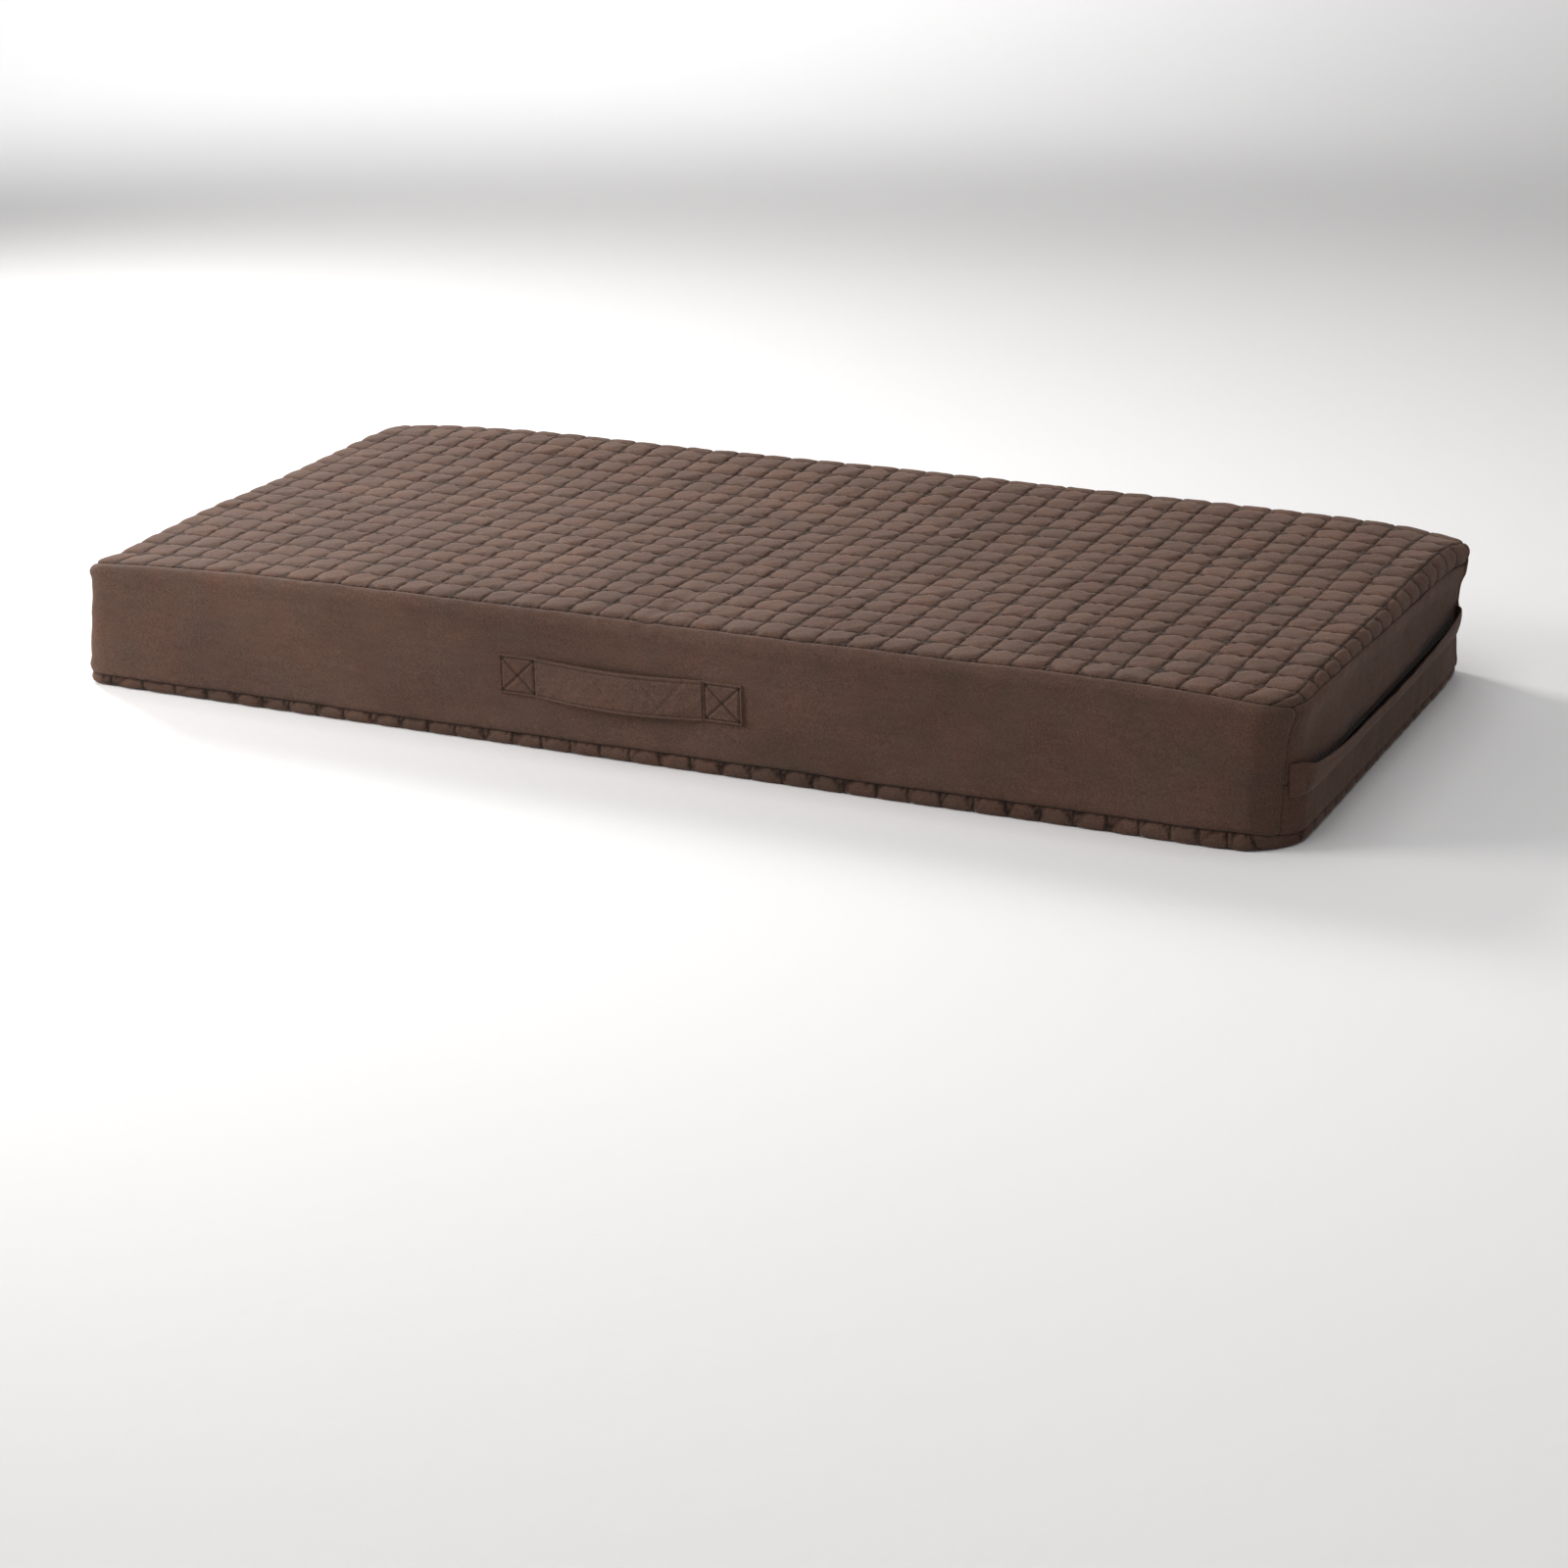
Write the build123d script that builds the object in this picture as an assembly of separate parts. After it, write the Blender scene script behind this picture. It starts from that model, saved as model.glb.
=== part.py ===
"""Pet cushion bed: a two-layer foam slab in a zipped, boxed cover with quilted faces.

Millimetres. The origin is the centre of the underside, X runs along the long side towards
the end with the zip, -Y is the front with the carrying handle, and Z is up.
"""

from build123d import *
import math
import os

# Cover, over the fabric
LENGTH = 1200.0
WIDTH = 550.0
HEIGHT = 136.0
CORNER_R = 20.0  # plan radius of the upright corners

# Quilted faces: face fabric, wadding and backing, sewn together in squares
FACE_T = 0.8
WADDING_T = 4.4
BACKING_T = 0.8
TOP_LIP = 8.0  # how far the top face turns down before its seam
UNDERSIDE_LIP = 18.0  # how far the underside turns up before its seam
QUILT_PITCH = 30.5
FIRST_COLUMN_IN = 30.5  # first front-to-back quilting line, from the plain end
FIRST_ROW_IN = 39.5  # first lengthwise quilting line, from the front
THREAD_T = 0.3
THREAD_W = 0.6

# Side band
BAND_T = 1.0

# Foam
BASE_FOAM_T = 80.0
CORE_GAP = 3.0  # foam to the outside of the cover, beside the band
LIP_GAP = 0.5  # foam to the quilted faces and their lips

# Zip in the +X end
ZIP_HEIGHT = 56.0  # centre line of the coils above the underside
ZIP_LENGTH = 434.0
TAPE_W = 13.0
TAPE_T = 0.6
TAPE_OVERRUN = 6.0
COIL_W = 2.4
COIL_T = 1.6
COIL_SPLIT = 1.4  # the wedge of the slider runs in this gap
BAND_TO_ZIP = 5.2  # folded edges of the band, from the zip's centre line
STOP_LENGTH = 4.0
SLIDER_LENGTH = 12.0
SLIDER_W = 8.4
SLIDER_PLATE_T = 0.8
SLIDER_CLEAR = 0.2
FLANGE_T = 0.9
WEDGE_T = 0.9
WEDGE_LENGTH = 6.0
CROWN_LENGTH = 5.6
CROWN_W = 3.0
CROWN_BAR_T = 0.8
CROWN_SLOT = 1.6
SLIDER_END_GAP = 4.0  # slider to the stop when the zip is shut
PULL_LENGTH = 24.0
PULL_W = 6.0
PULL_T = 1.0
PULL_PIN_R = 0.55
PULL_EYE = 4.0  # length of the eye that goes round the crown

# Flap over the zip, sewn along its lower edge and at both ends
FLAP_WIDTH = 20.0
FLAP_T = 1.6
FLAP_BELOW_ZIP = 10.0
FLAP_FOOT_OUT = 1.5  # how far the sewn edge stands off the band
FLAP_FREE_OUT = 8.5  # how far the free edge stands off the band
FLAP_END_OVER = 8.0  # free part of the flap, beyond each end of the zip
FLAP_END_GAP = 0.3
HEM_IN = 4.0  # hem stitching, down from the free edge

# Carrying handle on the front
HANDLE_X = -27.0
HANDLE_DROP = 65.5  # handle's centre line, below the top
STRAP_W = 38.0
STRAP_T = 2.4
STRAP_BOX = 40.0  # length of each cross-stitched end
STRAP_SPAN = 168.0  # between the cross-stitched ends
STRAP_RISE = 7.6  # how far the middle bows out
STRAP_GAP = 0.4  # the free part, off the band at its ends
STITCH_IN = 3.0  # stitching, in from the strap's edges

QUILT_T = FACE_T + WADDING_T + BACKING_T
END_X = LENGTH / 2
FRONT_Y = -WIDTH / 2
TOP_SEAM = HEIGHT - TOP_LIP
FLAP_FOOT_Z = ZIP_HEIGHT - FLAP_BELOW_ZIP
FLAP_HALF = ZIP_LENGTH / 2 + FLAP_END_OVER
SLIDER_Y = ZIP_LENGTH / 2 - SLIDER_END_GAP - SLIDER_LENGTH / 2
COIL_BACK = END_X - BAND_T
COIL_FRONT = COIL_BACK + COIL_T
PLATE_BACK = COIL_FRONT + SLIDER_CLEAR
PLATE_FRONT = PLATE_BACK + SLIDER_PLATE_T
PULL_X = PLATE_FRONT + CROWN_SLOT / 2
HANDLE_Z = HEIGHT - HANDLE_DROP


def block(x, y, z):
    """A box from three (low, high) pairs."""
    size = (x[1] - x[0], y[1] - y[0], z[1] - z[0])
    centre = (sum(x) / 2, sum(y) / 2, sum(z) / 2)
    return Pos(*centre) * Box(*size)


def slab(inset, z_low, z_high):
    """The cover's plan, drawn in by inset, between two heights."""
    plan = RectangleRounded(LENGTH - 2 * inset, WIDTH - 2 * inset, CORNER_R - inset)
    return Pos(0, 0, z_low) * extrude(plan, z_high - z_low)


def top_layer(depth, thickness):
    """One layer of the quilted top, with its turned-down lip, depth below the outside."""
    inner = slab(depth + thickness, TOP_SEAM, HEIGHT - depth - thickness)
    return slab(depth, TOP_SEAM, HEIGHT - depth) - inner


def underside_layer(depth, thickness):
    """One layer of the quilted underside, with its turned-up lip."""
    inner = slab(depth + thickness, depth + thickness, UNDERSIDE_LIP)
    return slab(depth, depth, UNDERSIDE_LIP) - inner


def quilt_lines(first, low, high):
    """Places of the quilting lines from first, a pitch apart, that lie between low and high."""
    count = int((high - first) // QUILT_PITCH) + 1
    places = [first + QUILT_PITCH * k for k in range(count)]
    return [p for p in places if low < p < high]


def quilting_thread(z):
    """Both sets of quilting lines, crosswise over lengthwise, as far as the corners' rounds."""
    half_x = END_X - CORNER_R
    half_y = WIDTH / 2 - CORNER_R
    half_w = THREAD_W / 2
    rows = quilt_lines(FRONT_Y + FIRST_ROW_IN, FRONT_Y + QUILT_T, -FRONT_Y - QUILT_T - LIP_GAP)
    columns = quilt_lines(-END_X + FIRST_COLUMN_IN, -END_X + QUILT_T, END_X - QUILT_T - LIP_GAP)
    lengthwise = [
        block((-half_x, half_x), (y - half_w, y + half_w), (z, z + THREAD_T)) for y in rows
    ]
    over = (z + THREAD_T, z + 2 * THREAD_T)
    crosswise = [block((x - half_w, x + half_w), (-half_y, half_y), over) for x in columns]
    return lengthwise + crosswise


def band_ring():
    """The whole side band, a closed ring of fabric between the two seams."""
    inner = slab(BAND_T, UNDERSIDE_LIP, TOP_SEAM)
    return slab(0, UNDERSIDE_LIP, TOP_SEAM) - inner


def side_band(side):
    """The band of a long side, which turns both corners. side is -1 at the front."""
    reach = (side * (WIDTH / 2 - CORNER_R), side * (WIDTH / 2 + 1))
    keep = block((-END_X - 1, END_X + 1), sorted(reach), (0, HEIGHT))
    return band_ring() & keep


def end_band(side, z_low, z_high):
    """A flat strip of the band across one end, between two heights."""
    half_y = WIDTH / 2 - CORNER_R
    return block(sorted((side * END_X, side * (END_X - BAND_T))), (-half_y, half_y), (z_low, z_high))


def foam_base():
    """The support foam, rebated where the underside's lip turns up round it."""
    z_low = QUILT_T + 2 * THREAD_T + LIP_GAP
    step = UNDERSIDE_LIP + LIP_GAP
    foot = slab(QUILT_T + LIP_GAP, z_low, step)
    return foot + slab(CORE_GAP, step, z_low + BASE_FOAM_T)


def foam_topper():
    """The softer top foam, rebated where the top's lip turns down round it."""
    z_low = QUILT_T + 2 * THREAD_T + LIP_GAP + BASE_FOAM_T
    step = TOP_SEAM - LIP_GAP
    crown = slab(QUILT_T + LIP_GAP, step, HEIGHT - QUILT_T - LIP_GAP)
    return slab(CORE_GAP, z_low, step) + crown


def seam_thread(z):
    """The stitches of a seam round the whole cover, as one thin closed ring."""
    low, high = z - THREAD_W / 2, z + THREAD_W / 2
    return slab(-THREAD_T, low, high) - slab(0, low, high)


def corner_threads():
    """The stitches of the four upright seams, just round the corners on the ends."""
    threads = []
    for sx in (-1, 1):
        for sy in (-1, 1):
            y = sy * (WIDTH / 2 - CORNER_R)
            across = sorted((sx * END_X, sx * (END_X + THREAD_T)))
            along = (y - THREAD_W / 2, y + THREAD_W / 2)
            threads.append(block(across, along, (UNDERSIDE_LIP + 1, TOP_SEAM - 1)))
    return threads


def zip_tape(side):
    """One woven tape behind the band. side is 1 for the upper tape."""
    near = side * COIL_SPLIT / 2
    z = sorted((ZIP_HEIGHT + near, ZIP_HEIGHT + near + side * TAPE_W))
    half_y = ZIP_LENGTH / 2 + TAPE_OVERRUN
    return block((COIL_BACK - TAPE_T, COIL_BACK), (-half_y, half_y), z)


def zip_coil(side):
    """One coil, on the front of its tape."""
    near = side * COIL_SPLIT / 2
    z = sorted((ZIP_HEIGHT + near, ZIP_HEIGHT + near + side * COIL_W))
    return block((COIL_BACK, COIL_FRONT), (-ZIP_LENGTH / 2, ZIP_LENGTH / 2), z)


def zip_stops():
    """The stop at each end of the coils, crimped across both."""
    half_z = COIL_SPLIT / 2 + COIL_W
    z = (ZIP_HEIGHT - half_z, ZIP_HEIGHT + half_z)
    stops = []
    for side in (-1, 1):
        y = sorted((side * ZIP_LENGTH / 2, side * (ZIP_LENGTH / 2 + STOP_LENGTH)))
        stops.append(block((COIL_BACK, COIL_FRONT + SLIDER_CLEAR), y, z))
    return stops


def zip_slider():
    """Front plate, side flanges, wedge, rear plate and the crown that holds the pull."""
    y = (SLIDER_Y - SLIDER_LENGTH / 2, SLIDER_Y + SLIDER_LENGTH / 2)
    half_w = SLIDER_W / 2
    z = (ZIP_HEIGHT - half_w, ZIP_HEIGHT + half_w)
    rear = COIL_BACK - TAPE_T - SLIDER_CLEAR
    body = block((PLATE_BACK, PLATE_FRONT), y, z)
    body += fillet(block((rear - TAPE_T, rear), y, z).edges().filter_by(Axis.X), FLANGE_T)
    for side in (-1, 1):
        flange_z = sorted((ZIP_HEIGHT + side * half_w, ZIP_HEIGHT + side * (half_w - FLANGE_T)))
        body += block((COIL_BACK + SLIDER_CLEAR, PLATE_FRONT), y, flange_z)
    wedge_z = (ZIP_HEIGHT - WEDGE_T / 2, ZIP_HEIGHT + WEDGE_T / 2)
    wedge_y = (SLIDER_Y - WEDGE_LENGTH / 2, SLIDER_Y + WEDGE_LENGTH / 2)
    body += block((rear - TAPE_T, PLATE_FRONT), wedge_y, wedge_z)
    return body + zip_crown()


def zip_crown():
    """The bridge on the slider's front plate, with a slot for the pull's pin."""
    z = (ZIP_HEIGHT - CROWN_W / 2, ZIP_HEIGHT + CROWN_W / 2)
    y = (SLIDER_Y - CROWN_LENGTH / 2, SLIDER_Y + CROWN_LENGTH / 2)
    whole = block((PLATE_FRONT, PLATE_FRONT + CROWN_SLOT + CROWN_BAR_T), y, z)
    slot_y = (y[0] + CROWN_BAR_T, y[1] - CROWN_BAR_T)
    return whole - block((PLATE_FRONT, PLATE_FRONT + CROWN_SLOT), slot_y, z)


def zip_pull():
    """The pull: a flat tab with an open eye, closed by the pin through the crown."""
    x = (PULL_X - PULL_T / 2, PULL_X + PULL_T / 2)
    z = (ZIP_HEIGHT - PULL_W / 2, ZIP_HEIGHT + PULL_W / 2)
    tab = block(x, (SLIDER_Y - PULL_LENGTH, SLIDER_Y + PULL_T / 2), z)
    tip = tab.edges().filter_by(Axis.X).group_by(Axis.Y)[0]
    tab = fillet(tip, PULL_W / 3)
    eye_half = CROWN_W / 2 + SLIDER_CLEAR + THREAD_T
    eye_z = (ZIP_HEIGHT - eye_half, ZIP_HEIGHT + eye_half)
    tab -= block(x, (SLIDER_Y - PULL_EYE, SLIDER_Y + PULL_T / 2), eye_z)
    pin = Pos(PULL_X, SLIDER_Y, ZIP_HEIGHT) * Cylinder(PULL_PIN_R, 2 * eye_half)
    return tab + pin


def flap_section(below, above, inner, outer):
    """A slice of the slanted flap: heights over its foot, and depths through its thickness."""
    lean = (FLAP_FREE_OUT - FLAP_FOOT_OUT) / FLAP_WIDTH
    foot = END_X + FLAP_FOOT_OUT
    corners = [
        (foot + lean * below + inner, FLAP_FOOT_Z + below),
        (foot + lean * above + inner, FLAP_FOOT_Z + above),
        (foot + lean * above + outer, FLAP_FOOT_Z + above),
        (foot + lean * below + outer, FLAP_FOOT_Z + below),
    ]
    face = Plane.XZ * make_face(Polyline(*corners, close=True))
    return extrude(face, FLAP_HALF, both=True)


def flap_ends():
    """The two ends of the flap, which are sewn flat onto the band."""
    x = (END_X, END_X + FLAP_T)
    z = (FLAP_FOOT_Z, FLAP_FOOT_Z + FLAP_WIDTH)
    near = FLAP_HALF + FLAP_END_GAP
    far = WIDTH / 2 - CORNER_R - 1
    return [block(x, (-far, -near), z), block(x, (near, far), z)]


def flap_end_threads():
    """A row of stitches across each sewn end, along its upper edge."""
    x = (END_X + FLAP_T, END_X + FLAP_T + THREAD_T)
    top = FLAP_FOOT_Z + FLAP_WIDTH - STITCH_IN
    near = FLAP_HALF + FLAP_END_GAP + 1
    far = WIDTH / 2 - CORNER_R - 2
    z = (top - THREAD_W, top)
    return [block(x, (-far, -near), z), block(x, (near, far), z)]


def strap_arc(offset_in, offset_out, z_low, z_high):
    """A bowed strip along the free part of the handle, between two depths off the band."""
    half = STRAP_SPAN / 2 - FLAP_END_GAP
    base = FRONT_Y - STRAP_GAP
    rise = STRAP_RISE

    def bow(offset):
        ends = base - offset
        return [(-half, ends), (0, ends - rise), (half, ends)]

    near = bow(offset_in)
    far = bow(offset_out)
    outline = [
        ThreePointArc(*near),
        Line(near[2], far[2]),
        ThreePointArc(far[2], far[1], far[0]),
        Line(far[0], near[0]),
    ]
    strip = extrude(make_face(outline), z_high - z_low)
    return Pos(HANDLE_X, 0, z_low) * strip


def handle_grip():
    """The free middle of the handle's strap."""
    return strap_arc(0, STRAP_T, HANDLE_Z - STRAP_W / 2, HANDLE_Z + STRAP_W / 2)


def handle_edge_threads():
    """The two rows of stitches along the free part of the strap."""
    rows = []
    for side in (-1, 1):
        z = HANDLE_Z + side * (STRAP_W / 2 - STITCH_IN)
        rows.append(strap_arc(STRAP_T, STRAP_T + THREAD_T, z - THREAD_W / 2, z + THREAD_W / 2))
    return rows


def handle_box_centres():
    """The X of the middle of each cross-stitched end."""
    out = (STRAP_SPAN + STRAP_BOX) / 2
    return [HANDLE_X - out, HANDLE_X + out]


def handle_ends():
    """The two sewn-down ends of the strap."""
    half = STRAP_BOX / 2
    z = (HANDLE_Z - STRAP_W / 2, HANDLE_Z + STRAP_W / 2)
    y = (FRONT_Y - STRAP_T, FRONT_Y)
    return [block((x - half, x + half), y, z) for x in handle_box_centres()]


def handle_box_threads():
    """A stitched rectangle with a cross in it, on each sewn end."""
    length = STRAP_BOX - 2 * STITCH_IN
    height = STRAP_W - 2 * STITCH_IN
    sketch = Rectangle(length, height) - Rectangle(length - 2 * THREAD_W, height - 2 * THREAD_W)
    slope = math.degrees(math.atan2(height, length))
    diagonal = math.hypot(length, height) - 2 * THREAD_W
    for turn in (-slope, slope):
        sketch += Rot(0, 0, turn) * Rectangle(diagonal, THREAD_W)
    thread = extrude(sketch, THREAD_T)
    face_y = FRONT_Y - STRAP_T
    return [Pos(x, face_y, HANDLE_Z) * Rot(90, 0, 0) * thread for x in handle_box_centres()]


def save(name, shape):
    """Write one node. A list is a group of separate solids."""
    solids = shape if isinstance(shape, list) else [shape]
    parts = [solid for item in solids for solid in item.solids()]
    export_step(Compound(parts) if len(parts) > 1 else parts[0], f"parts/{name}.step")


def build():
    save("foam_base", foam_base())
    save("foam_topper", foam_topper())

    save("top_face_fabric", top_layer(0, FACE_T))
    save("top_wadding", top_layer(FACE_T, WADDING_T))
    save("top_backing", top_layer(FACE_T + WADDING_T, BACKING_T))
    save("top_quilting_thread", quilting_thread(HEIGHT))
    save("underside_face_fabric", underside_layer(0, FACE_T))
    save("underside_wadding", underside_layer(FACE_T, WADDING_T))
    save("underside_backing", underside_layer(FACE_T + WADDING_T, BACKING_T))
    save("underside_quilting_thread", quilting_thread(QUILT_T))

    save("front_band", side_band(-1))
    save("back_band", side_band(1))
    save("plain_end_band", end_band(-1, UNDERSIDE_LIP, TOP_SEAM))
    save("zip_end_upper_band", end_band(1, ZIP_HEIGHT + BAND_TO_ZIP, TOP_SEAM))
    save("zip_end_lower_band", end_band(1, UNDERSIDE_LIP, ZIP_HEIGHT - BAND_TO_ZIP))
    save("top_seam_thread", seam_thread(TOP_SEAM))
    save("underside_seam_thread", seam_thread(UNDERSIDE_LIP))
    save("corner_seam_threads", corner_threads())

    save("zip_tape_upper", zip_tape(1))
    save("zip_tape_lower", zip_tape(-1))
    save("zip_coil_upper", zip_coil(1))
    save("zip_coil_lower", zip_coil(-1))
    save("zip_stops", zip_stops())
    save("zip_slider", zip_slider())
    save("zip_pull", zip_pull())
    save("zip_flap", flap_section(0, FLAP_WIDTH, 0, FLAP_T))
    hem = FLAP_WIDTH - HEM_IN
    save("zip_flap_hem_thread", flap_section(hem, hem + THREAD_W, FLAP_T, FLAP_T + THREAD_T))
    save("zip_flap_sewn_ends", flap_ends())
    save("zip_flap_end_threads", flap_end_threads())

    save("handle_grip", handle_grip())
    save("handle_edge_threads", handle_edge_threads())
    save("handle_sewn_ends", handle_ends())
    save("handle_box_threads", handle_box_threads())


os.makedirs("parts", exist_ok=True)
build()
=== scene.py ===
"""Looks of the pet cushion bed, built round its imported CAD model.

Metres, in the CAD's frame: X runs along the long side towards the end with the zip, -Y is the
front with the carrying handle, and Z is up.

The cover is made on a rounded box. A flat core ends PLAN_R inside the outline. A point of the
cover has its nearest core point, a direction outwards from it, and a distance w along the
cloth: over the top edge, down the side and in under the bottom edge. settle() then gives the
cover, the foam, the flap and the strap the sag and pull of soft things. The zip keeps to the CAD.
"""

import math

import bpy
import numpy as np
from mathutils import Matrix, Vector


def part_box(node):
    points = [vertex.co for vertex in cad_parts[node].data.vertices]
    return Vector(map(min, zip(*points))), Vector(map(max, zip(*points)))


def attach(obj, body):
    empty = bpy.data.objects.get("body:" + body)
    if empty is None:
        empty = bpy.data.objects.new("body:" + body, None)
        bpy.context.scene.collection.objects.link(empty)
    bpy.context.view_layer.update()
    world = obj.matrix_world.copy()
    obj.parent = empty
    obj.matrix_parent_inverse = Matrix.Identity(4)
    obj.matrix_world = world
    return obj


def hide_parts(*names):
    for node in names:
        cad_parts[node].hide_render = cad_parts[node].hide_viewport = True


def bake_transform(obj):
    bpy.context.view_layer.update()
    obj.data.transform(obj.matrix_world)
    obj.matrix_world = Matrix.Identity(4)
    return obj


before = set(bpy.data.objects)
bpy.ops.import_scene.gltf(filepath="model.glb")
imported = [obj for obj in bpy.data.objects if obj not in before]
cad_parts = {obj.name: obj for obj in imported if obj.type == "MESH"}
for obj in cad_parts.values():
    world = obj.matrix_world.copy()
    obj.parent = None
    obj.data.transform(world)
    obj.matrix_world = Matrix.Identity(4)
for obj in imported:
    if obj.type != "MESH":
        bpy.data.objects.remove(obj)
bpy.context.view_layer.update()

# The cover's box, from the CAD
END_X, SIDE_Y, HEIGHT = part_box("top_face_fabric")[1]
PLAN_R = 0.024
TOP_R = 0.014  # rounding of the top edge
FOOT_R = 0.005  # rounding of the bottom edge
CORE_X = END_X - PLAN_R
CORE_Y = SIDE_Y - PLAN_R
QUARTER = math.pi / 2
TOP_HALF = PLAN_R + (QUARTER - 2) * TOP_R + HEIGHT / 2  # cloth from the top's core to mid-height
SECTION = TOP_HALF + PLAN_R + (QUARTER - 2) * FOOT_R + HEIGHT / 2

# Quilting
PITCH = 0.0305
COLUMNS = 39
ROWS = 17
FIRST_COLUMN = -END_X + PITCH
FIRST_ROW = -SIDE_Y + 0.0395
SEGMENTS = 11  # mesh steps across a square
STITCH_DEPTH = 0.0015  # seams, below the rounded box
PUFF = 0.0025  # highest that a puff stands over its seams
UNDER_PUFF = 0.0016
LINING_DEPTH = 0.006
FLOOR_CLEAR = 0.0004

# Seams, below the top and above the underside, at the -X or -Y end of a side and at its other end
TOP_DROP = {
    "front": (0.0018, 0.0018),
    "back": (0.006, 0.006),
    "plain": (0.008, 0.008),
    "zip": (0.007, 0.022),
}
FOOT_RISE = {
    "front": (0.012, 0.017),
    "back": (0.014, 0.013),
    "plain": (0.012, 0.012),
    "zip": (0.012, 0.009),
}

# Zip and flap, from the CAD
ZIP_Z = sum(corner.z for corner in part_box("zip_stops")) / 2
ZIP_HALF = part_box("zip_coil_upper")[1].y
ZIP_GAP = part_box("zip_end_upper_band")[0].z - ZIP_Z
FLAP_FOOT_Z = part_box("zip_flap")[0].z
FLAP_EXTRA = 0.013  # free this much further out than the CAD's flap, at each end
FLAP_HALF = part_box("zip_flap")[1].y + FLAP_EXTRA
FLAP_REACH = CORE_Y - 0.001  # the sewn ends run up to the corner seams
FLAP_T = 0.0016
FLAP_LENGTH = 0.0195  # of cloth at its middle, from its foot to its free edge
FLAP_LONGER = 0.009  # how much longer its cloth is at the ends of its free part

# Handle, from the CAD
GRIP_LOW, GRIP_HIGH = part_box("handle_grip")
ENDS_LOW, ENDS_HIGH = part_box("handle_sewn_ends")
HANDLE_Z = (ENDS_LOW.z + ENDS_HIGH.z) / 2
STRAP_HALF = (ENDS_HIGH.z - ENDS_LOW.z) / 2
STRAP_T = ENDS_HIGH.y - ENDS_LOW.y
STRAP_RISE = 0.7 * (GRIP_HIGH.y - GRIP_LOW.y - STRAP_T)
STRAP_DROOP = 0.0020
STITCH_IN = 0.003

STITCH_PITCH = 0.0032
STITCH_SIZE = (0.0025, 0.0006, 0.0005)  # length, width and height of one stitch
HANDLE_STITCH = (0.0025, 0.0010, 0.0006)  # the same, of the thicker thread on the handle


# ---------------------------------------------------------------- shape of the whole

LATTICE = 64  # the noise repeats after this many features


def smooth(share):
    """A share from 0 to 1 that starts and ends gently."""
    share = np.clip(share, 0, 1)
    return share * share * (3 - 2 * share)


def noise(x, y, size, seed):
    """Smooth seeded noise from -1 to 1 over a plane, with features about size across."""
    lattice = np.random.default_rng(seed).uniform(-1, 1, (LATTICE, LATTICE))
    u, v = np.broadcast_arrays(np.asarray(x) / size, np.asarray(y) / size)
    i, j = np.floor(u).astype(int), np.floor(v).astype(int)
    s, t = smooth(u - i), smooth(v - j)
    i, j, after_i, after_j = (k % LATTICE for k in (i, j, i + 1, j + 1))
    low = lattice[i, j] * (1 - s) + lattice[after_i, j] * s
    high = lattice[i, after_j] * (1 - s) + lattice[after_i, after_j] * s
    return low * (1 - t) + high * t


def bump(distance, width):
    """A smooth bump of height 1."""
    return np.exp(-((distance / width) ** 2))


def fading(distance, reach):
    """1 at a seam or an end, and fading away from it."""
    return np.exp(-distance / reach)


# Each corner, by its side along X and along Y: how far it stands out at the top, how far its
# upright edge is drawn in below, how much it droops close by on top of CORNER_DROOP, and how far
# it leans along X at the foot and at the top
CORNERS = {
    (-1, -1): {"ear": 0.002, "pinch": 0.001, "droop": 0.002, "lean": (-0.025, -0.010)},
    (1, -1): {"ear": -0.003, "pinch": 0.010, "droop": 0.002, "lean": (-0.017, -0.012)},
    (1, 1): {"ear": 0.012, "pinch": 0.006, "droop": 0.011, "lean": (0, 0)},
    (-1, 1): {"ear": 0.006, "pinch": 0.004, "droop": 0.006, "lean": (-0.003, -0.002)},
}
EAR_SIZE = 0.045  # how far round a corner its ear and pinch reach
DIAGONAL = 0.7  # share of an outward move that goes along X, and along Y
OWN_DROOP_SIZE = 0.038
LEAN_SIZE = 0.09
LEAN_FROM = 0.232  # distance from the middle, across the bed, at which the corners begin to lean
CORNER_DROOP = 0.006  # of every corner
DROOP_SIZE = 0.11
TOP_TILT = 0.003
TOP_CROWN = 0.002
TOP_WAVE = 0.0011
BACK_RISE = 0.010
SIDE_WAVE = 0.0017
PLAIN_BULGE = 0.009
END_WAVE = 0.0016
ZIP_HOLLOW = 0.0055
HOLLOW_Z = 0.093
CREASE_DEPTH = 0.0016  # a slanting crease over the front half of the top
CREASE_X = 0.012
CREASE_SLANT = 0.05
CREASE_WIDTH = 0.007


def top_rise(x, y, across, along):
    """How far the top stands over the plain box: a tilt, a crown, a raised back edge and waves."""
    rise = TOP_TILT * along + TOP_CROWN * (1 - along**4) * (1 - across**4)
    rise = rise + BACK_RISE * np.clip(across, 0, 1.1) ** 2 * (1 - 0.5 * along)
    return rise + TOP_WAVE * noise(x, y, 0.11, 3)


def end_pull(y, z, up, across, along):
    """How far the ends move along X: a hollow over the zip, a bulge at the plain end, and waves."""
    off_zip = 1 - bump(z - ZIP_Z, 0.022)
    zip_end = np.clip(along, 0, 1) ** 20 * (1 - across**6)
    pull = -ZIP_HOLLOW * bump(z - HOLLOW_Z, 0.02) * zip_end
    pull = pull + END_WAVE * along**9 * noise(y, z + along, 0.12, 5) * off_zip
    plain_end = np.clip(-along, 0, 1) ** 14
    bulge = PLAIN_BULGE * plain_end * (0.55 + 0.45 * bump(up - 0.25, 0.35))
    return pull - bulge * (1 + 0.3 * noise(y, z, 0.1, 9))


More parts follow.
